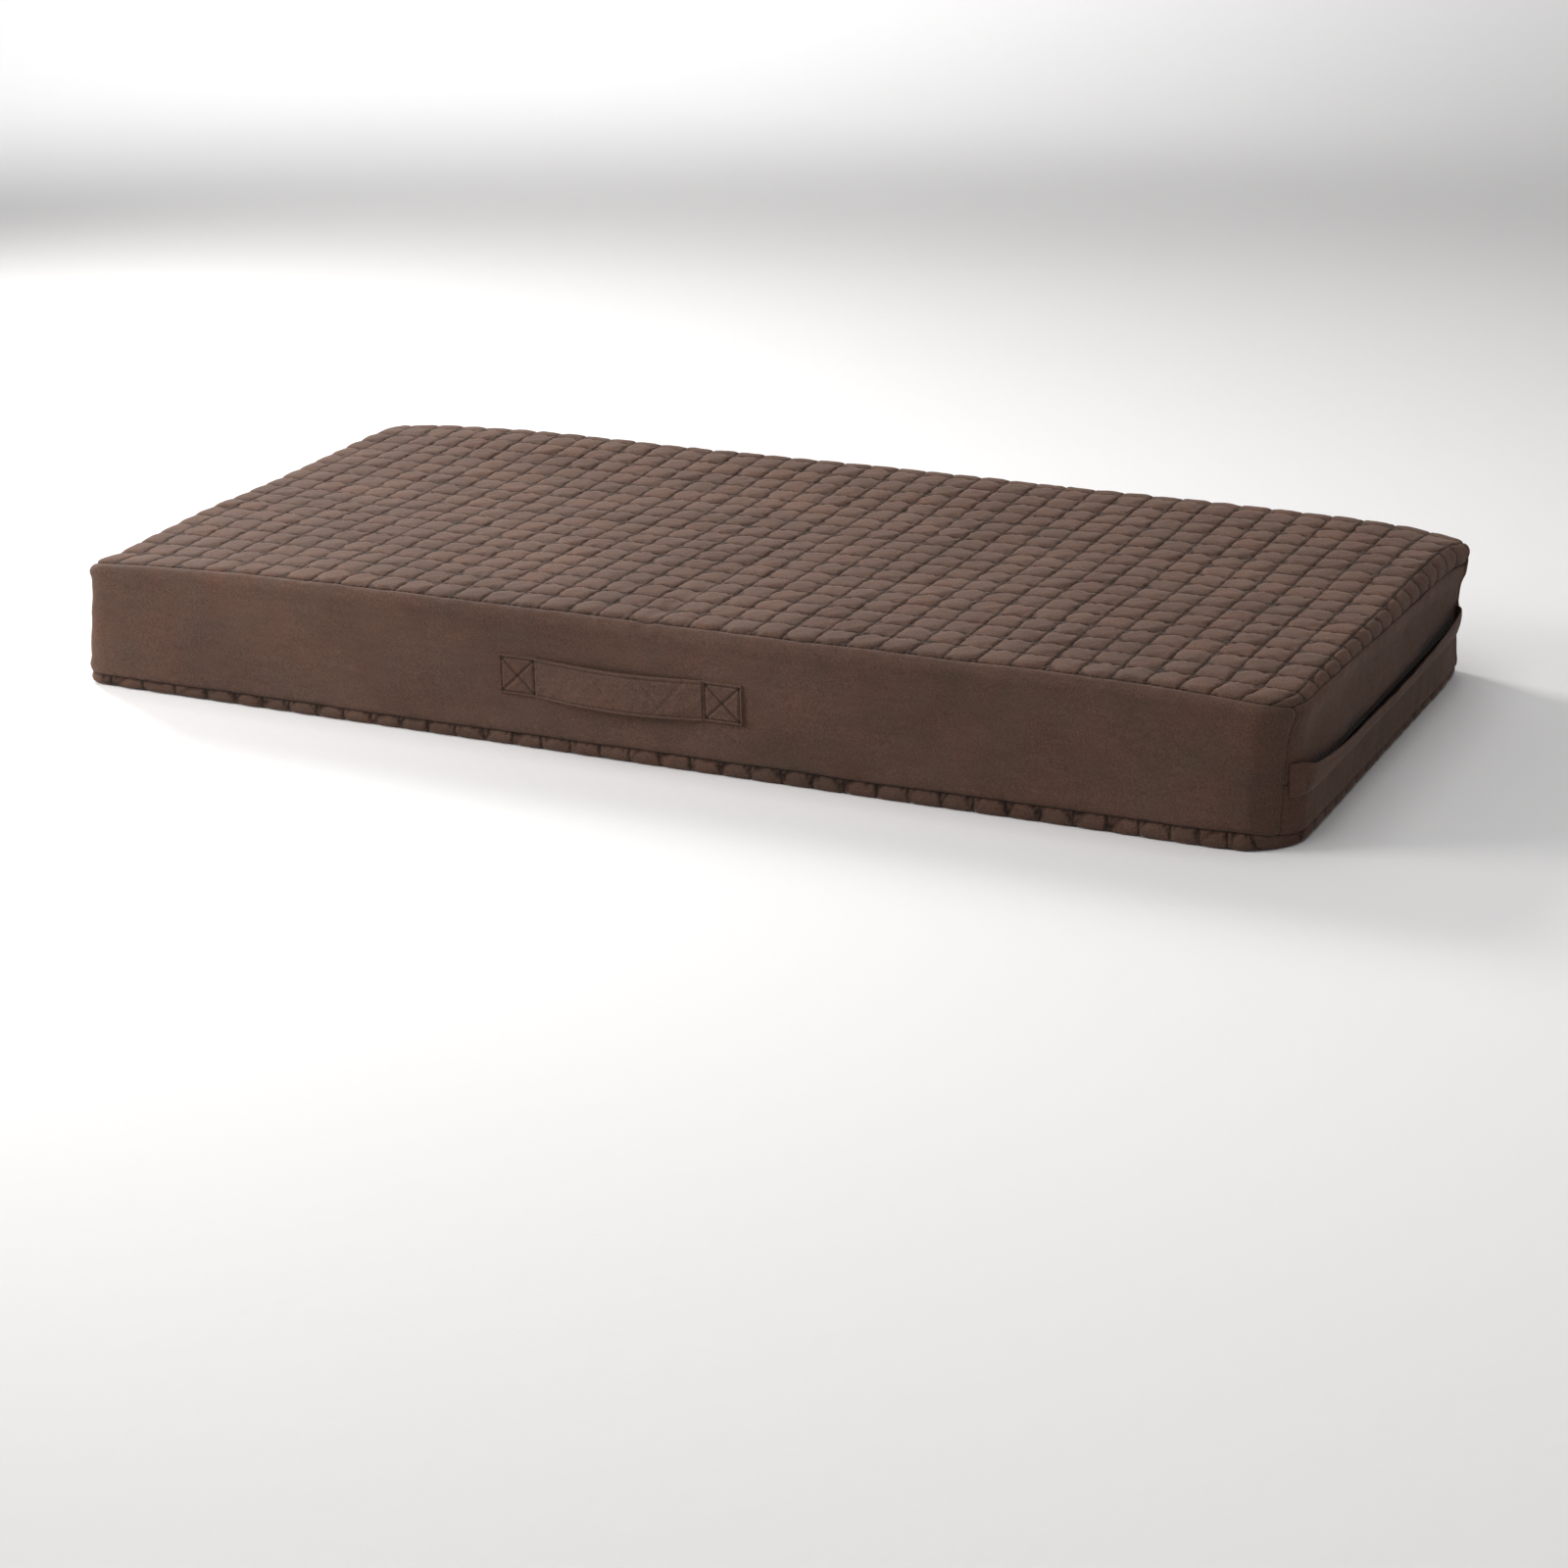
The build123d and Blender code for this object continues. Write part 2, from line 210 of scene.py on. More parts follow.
def corner_pull(x, y, up, side_x, side_y, corner):
    """How far a corner's ear, pinch, lean and droop move the cloth round it."""
    high = up**3
    away = np.hypot(x - side_x * END_X, y - side_y * SIDE_Y)
    pinch = corner["pinch"] * (0.6 + 0.4 * bump(up - 0.45, 0.3)) * (1 - np.minimum(high, 1))
    out = (corner["ear"] * up**5 - pinch) * bump(away, EAR_SIZE) * DIAGONAL
    droop = CORNER_DROOP * bump(away, DROOP_SIZE) + corner["droop"] * bump(away, OWN_DROOP_SIZE)
    foot, top = corner["lean"]
    near = smooth((side_y * y - LEAN_FROM) / (SIDE_Y - LEAN_FROM))
    near = near * bump(x - side_x * END_X, LEAN_SIZE)
    lean = near * (foot + (top - foot) * np.minimum(up, 1))
    return side_x * out + lean, side_y * out, -high * droop


def settle(points):
    """The soft shape of the whole bed: drooping corners with ears, a hollow zip end, wavy sides."""
    x, y, z = points[..., 0], points[..., 1], points[..., 2]
    up = np.clip(z / HEIGHT, 0, 1.05)
    across, along = y / SIDE_Y, x / END_X
    crease = CREASE_DEPTH * bump(x - CREASE_X - CREASE_SLANT * y, CREASE_WIDTH)
    dx = end_pull(y, z, up, across, along)
    dy = SIDE_WAVE * across**9 * noise(x, z + across, 0.2, 7)
    dz = up**3 * top_rise(x, y, across, along) - up**9 * crease * np.clip(0.2 - across, 0, 1)
    for (side_x, side_y), corner in CORNERS.items():
        pull = corner_pull(x, y, up, side_x, side_y, corner)
        dx, dy, dz = dx + pull[0], dy + pull[1], dz + pull[2]
    return np.stack([x + dx, y + dy, z + dz], axis=-1)


def on_cover(cx, cy, nx, ny, w, lift):
    """Points of the cover that stand lift off the rounded box."""
    low = w > TOP_HALF
    a = np.where(low, SECTION - w, w)
    radius = np.where(low, FOOT_R, TOP_R)
    turn = np.clip((a - PLAN_R + radius) / radius, 0, QUARTER)
    out = np.minimum(a, PLAN_R - radius) + radius * np.sin(turn) + np.sin(turn) * lift
    straight = np.maximum(a - PLAN_R + radius - radius * QUARTER, 0)
    down = radius * (1 - np.cos(turn)) + straight - np.cos(turn) * lift
    up = np.where(low, down, HEIGHT - down)
    return settle(np.stack(np.broadcast_arrays(cx + nx * out, cy + ny * out, up), axis=-1))


def reach(drop, radius):
    """Distance along the cloth from the core to a point that lies drop past an edge of that radius."""
    turn = np.arccos(np.clip(1 - drop / radius, 0, 1))
    return PLAN_R - radius + radius * turn + np.maximum(drop - radius, 0)


# ---------------------------------------------------------------- meshes

def fixed(piece, slot, *nodes):
    """A piece that stays with the bed and stands in for those CAD nodes, which it hides. The slot
    argument is not used.
    """
    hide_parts(*nodes)
    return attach(piece, "root")


def bending(piece, node):
    """A piece with its place baked into its points, standing in for that CAD node, which it hides."""
    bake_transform(piece)
    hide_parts(node)


def mesh_object(name, points, faces, material):
    """A mesh piece from points and faces."""
    mesh = bpy.data.meshes.new(name)
    mesh.from_pydata(np.asarray(points).reshape(-1, 3).tolist(), [], faces)
    mesh.polygons.foreach_set("use_smooth", [True] * len(mesh.polygons))
    mesh.update()
    piece = bpy.data.objects.new(name, mesh)
    bpy.context.scene.collection.objects.link(piece)
    mesh.materials.append(material)
    return piece


def grid_faces(rows, columns, start=0, flip=False, closed=False):
    """Quads of a grid of points, row by row. A closed grid joins its last column to its first."""
    i = np.arange(rows - 1)[:, None]
    j = np.arange(columns if closed else columns - 1)[None, :]
    k = (j + 1) % columns
    quads = np.stack([i * columns + j, (i + 1) * columns + j, (i + 1) * columns + k, i * columns + k], -1)
    quads = quads.reshape(-1, 4) + start
    return (quads[:, ::-1] if flip else quads).tolist()


def eased(count, pull=0.09):
    """Shares from 0 to 1 that crowd towards both ends."""
    t = np.linspace(0, 1, count + 1)
    return t - pull * np.sin(2 * math.pi * t)


def set_rise_and_shade(piece, values):
    """How far each point stands out of its seams, 0 to 1, which the material turns into painted shade in
    the seams.
    """
    full = np.ones(len(piece.data.vertices), np.float32)
    full[: values.size] = values.ravel()
    layer = piece.data.attributes.get("rise_and_shade") or piece.data.attributes.new("rise_and_shade", "FLOAT", "POINT")
    layer.data.foreach_set("value", full)


def tube(name, stations, material):
    """A solid strip. stations holds, for each place along it, the closed section's points."""
    points = np.asarray(stations)
    count, around = points.shape[:2]
    faces = grid_faces(count, around, closed=True)
    faces.append(list(range(around)))
    faces.append([(count - 1) * around + k for k in reversed(range(around))])
    piece = mesh_object(name, points, faces, material)
    set_rise_and_shade(piece, np.ones(count * around))
    return piece


def tube_halves(names, stations, material):
    """A solid strip in two halves that meet at its middle and shade as one."""
    points = np.asarray(stations)
    count, around = points.shape[:2]
    along = np.gradient(points, axis=0)
    round_it = np.roll(points, -1, axis=1) - np.roll(points, 1, axis=1)
    normals = np.cross(along, round_it)
    normals /= np.maximum(np.linalg.norm(normals, axis=-1, keepdims=True), 1e-12)
    middle = count // 2
    halves = []
    for name, part in zip(names, (slice(0, middle + 1), slice(middle, count))):
        half = tube(name, points[part], material)
        half.data.normals_split_custom_set_from_vertices(normals[part].reshape(-1, 3).tolist())
        halves.append(half)
    return halves


def stitches(name, runs, material, size=STITCH_SIZE):
    """Separate stitches along lines. A run is its points and the cloth's normals there."""
    length, width, height = size
    shifts = (-length / 2, 0, length / 2)
    corners = []
    for points, normals in runs:
        travel = np.concatenate([[0], np.cumsum(np.linalg.norm(np.diff(points, axis=0), axis=1))])
        count = int(travel[-1] // STITCH_PITCH)
        if count < 1:
            continue
        place = (np.arange(count) + 0.5) * travel[-1] / count
        at = [np.interp(place + shift, travel, points[:, k]) for shift in shifts for k in range(3)]
        back, middle, ahead = np.array(at).reshape(3, 3, count).transpose(0, 2, 1)
        normal = np.stack([np.interp(place, travel, normals[:, k]) for k in range(3)], -1)
        normal /= np.linalg.norm(normal, axis=1, keepdims=True)
        side = np.cross(normal, ahead - back)
        side *= width / 2 / np.maximum(np.linalg.norm(side, axis=1, keepdims=True), 1e-9)
        rise = normal * height
        around = [middle + side, middle + rise, middle - side, middle - rise / 2]
        corners.append(np.stack([back, *around, ahead], 1))
    points = np.concatenate(corners)
    one = [(0, 1, 2), (0, 2, 3), (0, 3, 4), (0, 4, 1), (5, 2, 1), (5, 3, 2), (5, 4, 3), (5, 1, 4)]
    faces = (np.arange(len(points))[:, None, None] * 6 + np.array(one)).reshape(-1, 3).tolist()
    return mesh_object(name, points, faces, material)


# ---------------------------------------------------------------- materials

SHEEN_ROUGHNESS = 0.4


class Paint:
    """A material in the making: its nodes, its shader and the bumps laid on it so far."""

    def __init__(self, name, roughness, sheen=0.0, specular=0.3, metallic=0.0):
        self.material = bpy.data.materials.new(name)
        self.material.use_nodes = True
        self.nodes = self.material.node_tree.nodes
        self.shader = self.nodes["Principled BSDF"]
        self.shader.inputs["Roughness"].default_value = roughness
        self.shader.inputs["Specular IOR Level"].default_value = specular
        self.shader.inputs["Metallic"].default_value = metallic
        self.shader.inputs["Sheen Weight"].default_value = sheen
        self.shader.inputs["Sheen Roughness"].default_value = SHEEN_ROUGHNESS
        self.place = self.nodes.new("ShaderNodeTexCoord").outputs["Object"]
        self.normal = None

    def link(self, output, socket):
        """Joins an output to an input."""
        self.material.node_tree.links.new(output, socket)

    def node(self, kind, **numbers):
        """A new node with some of its inputs set."""
        made = self.nodes.new("ShaderNode" + kind)
        for name, value in numbers.items():
            made.inputs[name].default_value = value
        return made

    def noise(self, scale, detail=3.0, stretch=None):
        """A noise texture over the piece's own place in space, drawn out by stretch."""
        texture = self.node("TexNoise", Scale=scale, Detail=detail)
        place = self.place
        if stretch:
            mapping = self.node("Mapping", Scale=stretch)
            self.link(place, mapping.inputs["Vector"])
            place = mapping.outputs["Vector"]
        self.link(place, texture.inputs["Vector"])
        return texture.outputs[0]

    def ramp(self, value, low, high, start=0.3, stop=0.7):
        """The colour low up to the value start, high from stop on, and a blend between them."""
        ramp = self.node("ValToRGB")
        ramp.color_ramp.elements[0].color = (*low, 1)
        ramp.color_ramp.elements[1].color = (*high, 1)
        ramp.color_ramp.elements[0].position = start
        ramp.color_ramp.elements[1].position = stop
        self.link(value, ramp.inputs["Fac"])
        return ramp.outputs["Color"]

    def multiplied(self, first, second, share):
        """The first colour, multiplied by the second as far as share says."""
        mix = self.node("Mix")
        mix.data_type = "RGBA"
        mix.blend_type = "MULTIPLY"
        mix.inputs["Factor"].default_value = share
        self.link(first, mix.inputs["A"])
        self.link(second, mix.inputs["B"])
        return mix.outputs["Result"]

    def weave(self, pitch):
        """Threads crossing over and under, as the sum of two fine waves."""
        total = self.node("Math")
        total.operation = "ADD"
        for slot, direction in enumerate(("DIAGONAL", "Z")):
            wave = self.node("TexWave", Scale=0.05 / pitch, Distortion=1.5, Detail=1.0)
            wave.bands_direction = direction
            self.link(self.place, wave.inputs["Vector"])
            self.link(wave.outputs["Fac"], total.inputs[slot])
        return total.outputs[0]

    def bump(self, height, depth, strength):
        """One more bump over those before it, with its depth in metres."""
        layer = self.node("Bump", Distance=depth, Strength=strength)
        self.link(height, layer.inputs["Height"])
        if self.normal:
            self.link(self.normal, layer.inputs["Normal"])
        self.normal = layer.outputs["Normal"]

    def done(self, colour):
        """The finished material, with that colour and all of its bumps."""
        self.link(colour, self.shader.inputs["Base Color"])
        self.link(self.normal, self.shader.inputs["Normal"])
        return self.material


def suede(name, dark, light, painted_seam_shade):
    """Brushed microfibre: patches where the pile lies differently, streaks, fine speckle, a faint
    weave, and painted shade: the colour is darkened in the seams, where the cloth lies low."""
    paint = Paint(name, 0.85, 0.12, 0.15)
    paint.shader.inputs["Sheen Tint"].default_value = (1.0, 0.72, 0.60, 1)
    toned = paint.ramp(paint.noise(8.0, 6.0, (1, 1.6, 1)), dark, light, 0.34, 0.66)
    hue, streaks = paint.noise(22.0, 4.0), paint.noise(90.0, 6.0, (0.5, 0.5, 2.2))
    speckle = paint.noise(700.0)
    for value, low, high, stop, share in (
        (hue, (1.06, 0.98, 0.96), (0.96, 1.0, 1.02), 0.62, 1.0),
        (streaks, (0.93, 0.93, 0.93), (1.06, 1.06, 1.06), 0.65, 0.8),
        (speckle, (0.70, 0.70, 0.70), (1.24, 1.24, 1.24), 0.65, 0.8),
    ):
        toned = paint.multiplied(toned, paint.ramp(value, low, high, 0.35, stop), share)
    # Painted shade: where a point lies low in its seams, the colour is multiplied towards the seam shade
    # colour.
    rise_and_shade = paint.node("Attribute")
    rise_and_shade.attribute_name = "rise_and_shade"
    shade = paint.ramp(rise_and_shade.outputs["Fac"], painted_seam_shade, (1, 1, 1), 0.0, 0.5)
    paint.bump(speckle, 0.0004, 0.6)
    paint.bump(paint.weave(0.0006), 0.00012, 0.35)
    paint.bump(paint.noise(70.0, 5.0), 0.0030, 0.30)
    return paint.done(paint.multiplied(toned, shade, 1.0))


def thread_material(name, dark, light):
    """Twisted thread."""
    paint = Paint(name, 0.6, 0.1)
    twist = paint.noise(2500.0, 2.0)
    paint.bump(twist, 0.0001, 0.6)
    return paint.done(paint.ramp(twist, dark, light))


def foam_material(name, dark, light):
    """Open-cell foam: small round pits."""
    paint = Paint(name, 0.95, 0.0, 0.2)
    cells = paint.node("TexVoronoi", Scale=700.0)
    paint.link(paint.place, cells.inputs["Vector"])
    paint.bump(cells.outputs["Distance"], 0.0008, 0.7)
    return paint.done(paint.ramp(cells.outputs["Distance"], dark, light, 0.1, 0.6))


def tape_material():
    """Woven zip tape, its own dark brown darkened further so that the gap over the zip shows as painted
    shade.
    """
    paint = Paint("zip_tape", 0.7, 0.1)
    speckle = paint.noise(900.0)
    paint.bump(paint.weave(0.0007), 0.0003, 0.8)
    paint.bump(speckle, 0.0001, 0.4)
    return paint.done(paint.ramp(speckle, (0.022, 0.013, 0.010), (0.044, 0.026, 0.020)))


def nylon_material():
    """Moulded nylon of the coils, its own dark brown darkened further so that it shows as painted shade
    in the gap over the zip.
    """
    paint = Paint("zip_nylon", 0.38, 0.0, 0.5)
    cloud = paint.noise(120.0)
    paint.bump(cloud, 0.0001, 0.3)
    return paint.done(paint.ramp(cloud, (0.020, 0.012, 0.009), (0.036, 0.022, 0.016)))


def metal_material():
    """Dark plated metal with rubbed, lighter patches and fine scratches."""
    paint = Paint("zip_metal", 0.34, 0.0, 0.5, 1.0)
    rub = paint.noise(420.0, 4.0)
    paint.bump(paint.noise(900.0, 3.0, (1, 0.08, 1)), 0.00008, 0.5)
    return paint.done(paint.ramp(rub, (0.16, 0.12, 0.10), (0.34, 0.28, 0.24), 0.4, 0.75))


def stage_material():
    """Matt white paint."""
    paint = Paint("studio_white", 0.9, 0.0, 0.2)
    cloud = paint.noise(0.8, 2.0)
    paint.bump(paint.noise(60.0, 4.0), 0.002, 0.15)
    return paint.done(paint.ramp(cloud, (0.77, 0.765, 0.765), (0.79, 0.785, 0.785)))


# The third colour of each suede is the painted shade multiplied into its seams.
SUEDE = suede("suede_quilt", (0.073, 0.0420, 0.0300), (0.103, 0.0590, 0.0420), (0.16, 0.13, 0.12))
SUEDE_BAND = suede("suede_band", (0.075, 0.0430, 0.0310), (0.094, 0.0540, 0.0390), (0.18, 0.15, 0.14))
THREAD = thread_material("thread", (0.046, 0.028, 0.020), (0.092, 0.056, 0.042))
DARK_THREAD = thread_material("thread_dark", (0.012, 0.008, 0.006), (0.030, 0.020, 0.016))


# ---------------------------------------------------------------- quilted faces

SWATCH_CELLS = (7, 5)
SWATCH_FRAMES = 24
PUFF_VARIETY = 0.22  # how much of each simulated square's own creases is kept
SIDE_MOVE = 0.3  # how much of the simulated sideways moves is kept
PUFF_STEEP = 2.6  # the puffs rise steeply beside their seams and are flat on top
QUIET_RIM = 0.06  # the quilting lines wander less this near to the edges


def pressed_swatch():
    """The moves of a quilted swatch's points when a cloth simulation presses it up."""

    def line_places(count):
        inner = (np.arange(count)[:, None] + eased(SEGMENTS)[None, :-1]).ravel()
        return np.append(inner, count) * PITCH

    x, y = np.meshgrid(*(line_places(cells) for cells in SWATCH_CELLS), indexing="ij")
    uneven = np.random.default_rng(11).uniform(0, 0.0002, x.shape)
    seam_x = np.arange(x.shape[0]) % SEGMENTS == 0
    seam_y = np.arange(x.shape[1]) % SEGMENTS == 0
    sewn = (seam_x[:, None] | seam_y[None, :]).ravel()
    swatch = mesh_object("swatch", np.stack([x, y, uneven], -1), grid_faces(*x.shape), THREAD)
    group = swatch.vertex_groups.new(name="sewn")
    group.add(np.nonzero(sewn)[0].tolist(), 1.0, "REPLACE")
    cloth = swatch.modifiers.new("cloth", "CLOTH")
    cloth.settings.quality = 8
    cloth.settings.mass = 0.1
    cloth.settings.tension_stiffness = 15
    cloth.settings.compression_stiffness = 15
    cloth.settings.shear_stiffness = 8
    cloth.settings.bending_stiffness = 0.3
    cloth.settings.air_damping = 2
    cloth.settings.vertex_group_mass = "sewn"
    cloth.settings.shrink_min = -0.02
    cloth.settings.use_pressure = True
    cloth.settings.uniform_pressure_force = 5
    cloth.settings.effector_weights.gravity = 0
    cloth.collision_settings.use_collision = False
    for number in range(1, SWATCH_FRAMES + 1):
        bpy.context.scene.frame_set(number)
    final = swatch.evaluated_get(bpy.context.evaluated_depsgraph_get()).data
    moved = np.zeros(len(final.vertices) * 3)
    final.vertices.foreach_get("co", moved)
    bpy.context.scene.frame_set(1)
    bpy.data.objects.remove(swatch)
    move = moved.reshape(*x.shape, 3) - np.stack([x, y, 0 * x], -1)
    move[..., 2] *= np.sign(move[..., 2].mean())
    return move


def simulated_puffs():
    """Puffs from the swatch, one for each of its squares: its sideways moves, in metres, and its
    rise, as a share of the highest point of their mean."""
    across, deep = SWATCH_CELLS
    move = pressed_swatch()
    step = SEGMENTS
    blocks = [
        move[i * step : (i + 1) * step + 1, j * step : (j + 1) * step + 1]
        for i in range(across)
        for j in range(deep)
    ]
    mean = sum(block[::a, ::b] * (a, b, 1) for block in blocks for a in (1, -1) for b in (1, -1))
    mean = mean / (4 * len(blocks))
    peak = mean[..., 2].max()
    puffs = []
    for block in blocks:
        puff = mean + PUFF_VARIETY * (block - mean)
        puff[..., :2] *= SIDE_MOVE
        puff[..., 2] /= peak
        puff[[0, -1], :] = 0
        puff[:, [0, -1]] = 0
        puffs.append(puff)
    return puffs


def face_lines(first, count, limit):
    """Places of the mesh lines across a face, with SEGMENTS steps in each square and margin."""
    edges = np.concatenate([[-limit], first + PITCH * np.arange(count), [limit]])
    share = eased(SEGMENTS)[:-1]
    return np.append((edges[:-1, None] + share * np.diff(edges)[:, None]).ravel(), limit)


def drawn_out(places, first, last, low, high):
    """Places with the margins outside the first and last quilting lines drawn out to the seams."""
    under = first - (first - places) * (first - low) / (first - places.min())
    over = last + (places - last) * (high - last) / (places.max() - last)
    return np.where(places < first, under, np.where(places > last, over, places))


def seam_reach(seams, side, share, radius, seed):
    """Distance from the core to the seam of a side, at shares from -1 to 1 along it."""
    start, stop = seams[side]
    wander = 0.0006 * noise(share * 8, seed, 1.0, seed) * (1 - share**8)
    return reach(start + (stop - start) * (share + 1) / 2, radius) + wander


def puff_field(library, widths, depths, seed):
    """The move of every mesh point of a face, one puff of the library in each square, and how
    much of the full height each square reaches."""
    rng = np.random.default_rng(seed)
    field = np.zeros((len(widths) * SEGMENTS + 1, len(depths) * SEGMENTS + 1, 3))
    height = np.ones(field.shape[:2])
    for i, width in enumerate(widths):
        for j, depth in enumerate(depths):
            puff = library[rng.integers(len(library))]
            if rng.random() < 0.5:
                puff = puff[::-1] * (-1, 1, 1)
            if rng.random() < 0.5:
                puff = puff[:, ::-1] * (1, -1, 1)
            narrow = min(1.0, min(width, depth) / PITCH) ** 1.3
            scale = (width / PITCH, depth / PITCH, 1.0)
            rows = slice(i * SEGMENTS, (i + 1) * SEGMENTS + 1)
            columns = slice(j * SEGMENTS, (j + 1) * SEGMENTS + 1)
            field[rows, columns] = puff * scale
            height[rows, columns] = narrow * rng.uniform(0.8, 1.15)
    return field, height


def quilted_face(seams, library, seed, under):
    """All that a quilted face needs: its places on the cover, how far its puffs rise out of their seams
    (which also sets the painted seam shade), points and normals.
    """
    last_column = FIRST_COLUMN + PITCH * (COLUMNS - 1)
    last_row = FIRST_ROW + PITCH * (ROWS - 1)
    plain_x = face_lines(FIRST_COLUMN, COLUMNS, END_X)
    plain_y = face_lines(FIRST_ROW, ROWS, SIDE_Y)
    share_x = np.clip(plain_x / CORE_X, -1, 1)
    share_y = np.clip(plain_y / CORE_Y, -1, 1)
    radius = FOOT_R if under else TOP_R
    sides = (("plain", share_y), ("zip", share_y), ("front", share_x), ("back", share_x))
    far = {k: seam_reach(seams, k, share, radius, seed + n) for n, (k, share) in enumerate(sides)}
    u = drawn_out(plain_x[:, None], FIRST_COLUMN, last_column,
                  -CORE_X - far["plain"][None, :], CORE_X + far["zip"][None, :])
    v = drawn_out(plain_y[None, :], FIRST_ROW, last_row,
                  -CORE_Y - far["front"][:, None], CORE_Y + far["back"][:, None])
    edges_x = np.concatenate([[u[0].mean()], FIRST_COLUMN + PITCH * np.arange(COLUMNS), [u[-1].mean()]])
    edges_y = np.concatenate([[v[:, 0].mean()], FIRST_ROW + PITCH * np.arange(ROWS), [v[:, -1].mean()]])
    move, height = puff_field(library, np.diff(edges_x), np.diff(edges_y), seed)

    inside = np.clip((END_X - np.abs(plain_x)) / QUIET_RIM, 0, 1)[:, None]
    inside = inside * np.clip((SIDE_Y - np.abs(plain_y)) / QUIET_RIM, 0, 1)[None, :]
    far_x = np.where(u > 0, far["zip"][None, :], far["plain"][None, :])
    far_y = np.where(v > 0, far["back"][:, None], far["front"][:, None])
    wander_x = inside * (0.0004 * noise(u, v, 0.035, seed) + 0.0010 * noise(u, v, 0.11, seed + 1))
    wander_y = inside * (0.0005 * noise(u, v, 0.03, seed + 2) + 0.0010 * noise(u, v, 0.09, seed + 3))
    u = u + wander_x + move[..., 0]
    v = v + wander_y + move[..., 1]

    cx, cy = np.clip(u, -CORE_X, CORE_X), np.clip(v, -CORE_Y, CORE_Y)
    dx, dy = u - cx, v - cy
    s, t = np.clip(np.abs(dx) / far_x, 0, 1), np.clip(np.abs(dy) / far_y, 0, 1)
    dx, dy = dx * np.sqrt(1 - t * t / 2), dy * np.sqrt(1 - s * s / 2)
    away = np.hypot(dx, dy)
    nx, ny = dx / np.maximum(away, 1e-9), dy / np.maximum(away, 1e-9)

    count = len(plain_x) // SEGMENTS * SEGMENTS
    soft_rows = np.sin(math.pi * (np.arange(count + 1) % SEGMENTS) / SEGMENTS)[:, None]
    near_row = np.minimum(np.abs((plain_y - FIRST_ROW) % PITCH), np.abs((FIRST_ROW - plain_y) % PITCH))
    # How far the puffs rise out of their seams, 0 to 1: it shapes the lift and also sets the painted
    # shade in the seams.
    rise_and_shade = 1 - (1 - np.clip(move[..., 2], 0, 1)) ** PUFF_STEEP
    lift = -STITCH_DEPTH + (UNDER_PUFF if under else PUFF) * rise_and_shade * height
    lift = lift + 0.0002 * soft_rows * bump(near_row, 0.004)[None, :] * inside
    lift = lift + 0.0003 * noise(u + v, u - v, 0.012, seed + 5) * rise_and_shade
    w = away
    if under:
        resting = 1 - np.clip((away - PLAN_R + FOOT_R) / FOOT_R, 0, 1)
        lift = np.minimum(lift, -FLOOR_CLEAR) * resting + lift * (1 - resting)
        w = SECTION - away
    face = {"cx": cx, "cy": cy, "nx": nx, "ny": ny, "w": w, "rise_and_shade": rise_and_shade}
    face["points"] = on_cover(cx, cy, nx, ny, w, lift)
    outwards = on_cover(cx, cy, nx, ny, w, lift + 0.001) - face["points"]
    face["normals"] = outwards / np.linalg.norm(outwards, axis=-1, keepdims=True)
    return face


def rim_indices(count_x, count_y):
    """Indices of a face's outline in order: front, zip end, back, plain end."""
    front = [(i, 0) for i in range(count_x)]
    zip_end = [(count_x - 1, j) for j in range(1, count_y)]
    back = [(i, count_y - 1) for i in range(count_x - 2, -1, -1)]
    plain = [(0, j) for j in range(count_y - 2, 0, -1)]
    return np.array(front + zip_end + back + plain)


def quilt_mesh(name, face, material, under):
    """The closed quilted face: puffed outside, edge, and lining at the quilting lines."""
    outer = face["points"]
    count_x, count_y = outer.shape[:2]
    pick = np.ix_(range(0, count_x, SEGMENTS), range(0, count_y, SEGMENTS))
    parts = [face[k][pick] for k in ("cx", "cy", "nx", "ny", "w")]
    inner = on_cover(*parts, np.full(parts[0].shape, -LINING_DEPTH))
    start = count_x * count_y
    small_x, small_y = inner.shape[:2]
    faces = grid_faces(count_x, count_y, flip=under)
    faces += grid_faces(small_x, small_y, start, flip=not under)
    rim = rim_indices(count_x, count_y)
    small = rim_indices(small_x, small_y)
    for k in range(len(small)):
        fine = [rim[(k * SEGMENTS + n) % len(rim)] for n in range(SEGMENTS + 1)]
        edge = [int(i * count_y + j) for i, j in fine]
        following, this = small[(k + 1) % len(small)], small[k]
        edge += [int(start + i * small_y + j) for i, j in (following, this)]
        faces.append(edge if not under else edge[::-1])
    points = np.concatenate([outer.reshape(-1, 3), inner.reshape(-1, 3)])
    piece = mesh_object(name, points, faces, material)
    # The puffs' rise also sets where shade is painted into the seams.
    set_rise_and_shade(piece, face["rise_and_shade"])
    return piece


def quilting_runs(face):
    """The sewn lines of a face, between its seams."""
    points, normals = face["points"], face["normals"]
    inner = slice(2, -2)
    columns = range(SEGMENTS, points.shape[0] - 1, SEGMENTS)
    rows = range(SEGMENTS, points.shape[1] - 1, SEGMENTS)
    runs = [(points[i, inner], normals[i, inner]) for i in columns]
    return runs + [(points[inner, j], normals[inner, j]) for j in rows]


def outline(face):
    """A face's outline as one loop of places on the cover."""
    rim = rim_indices(*face["w"].shape)
    names = ("cx", "cy", "nx", "ny", "w", "points", "normals")
    return {k: face[k][rim[:, 0], rim[:, 1]] for k in names}


# ---------------------------------------------------------------- side band

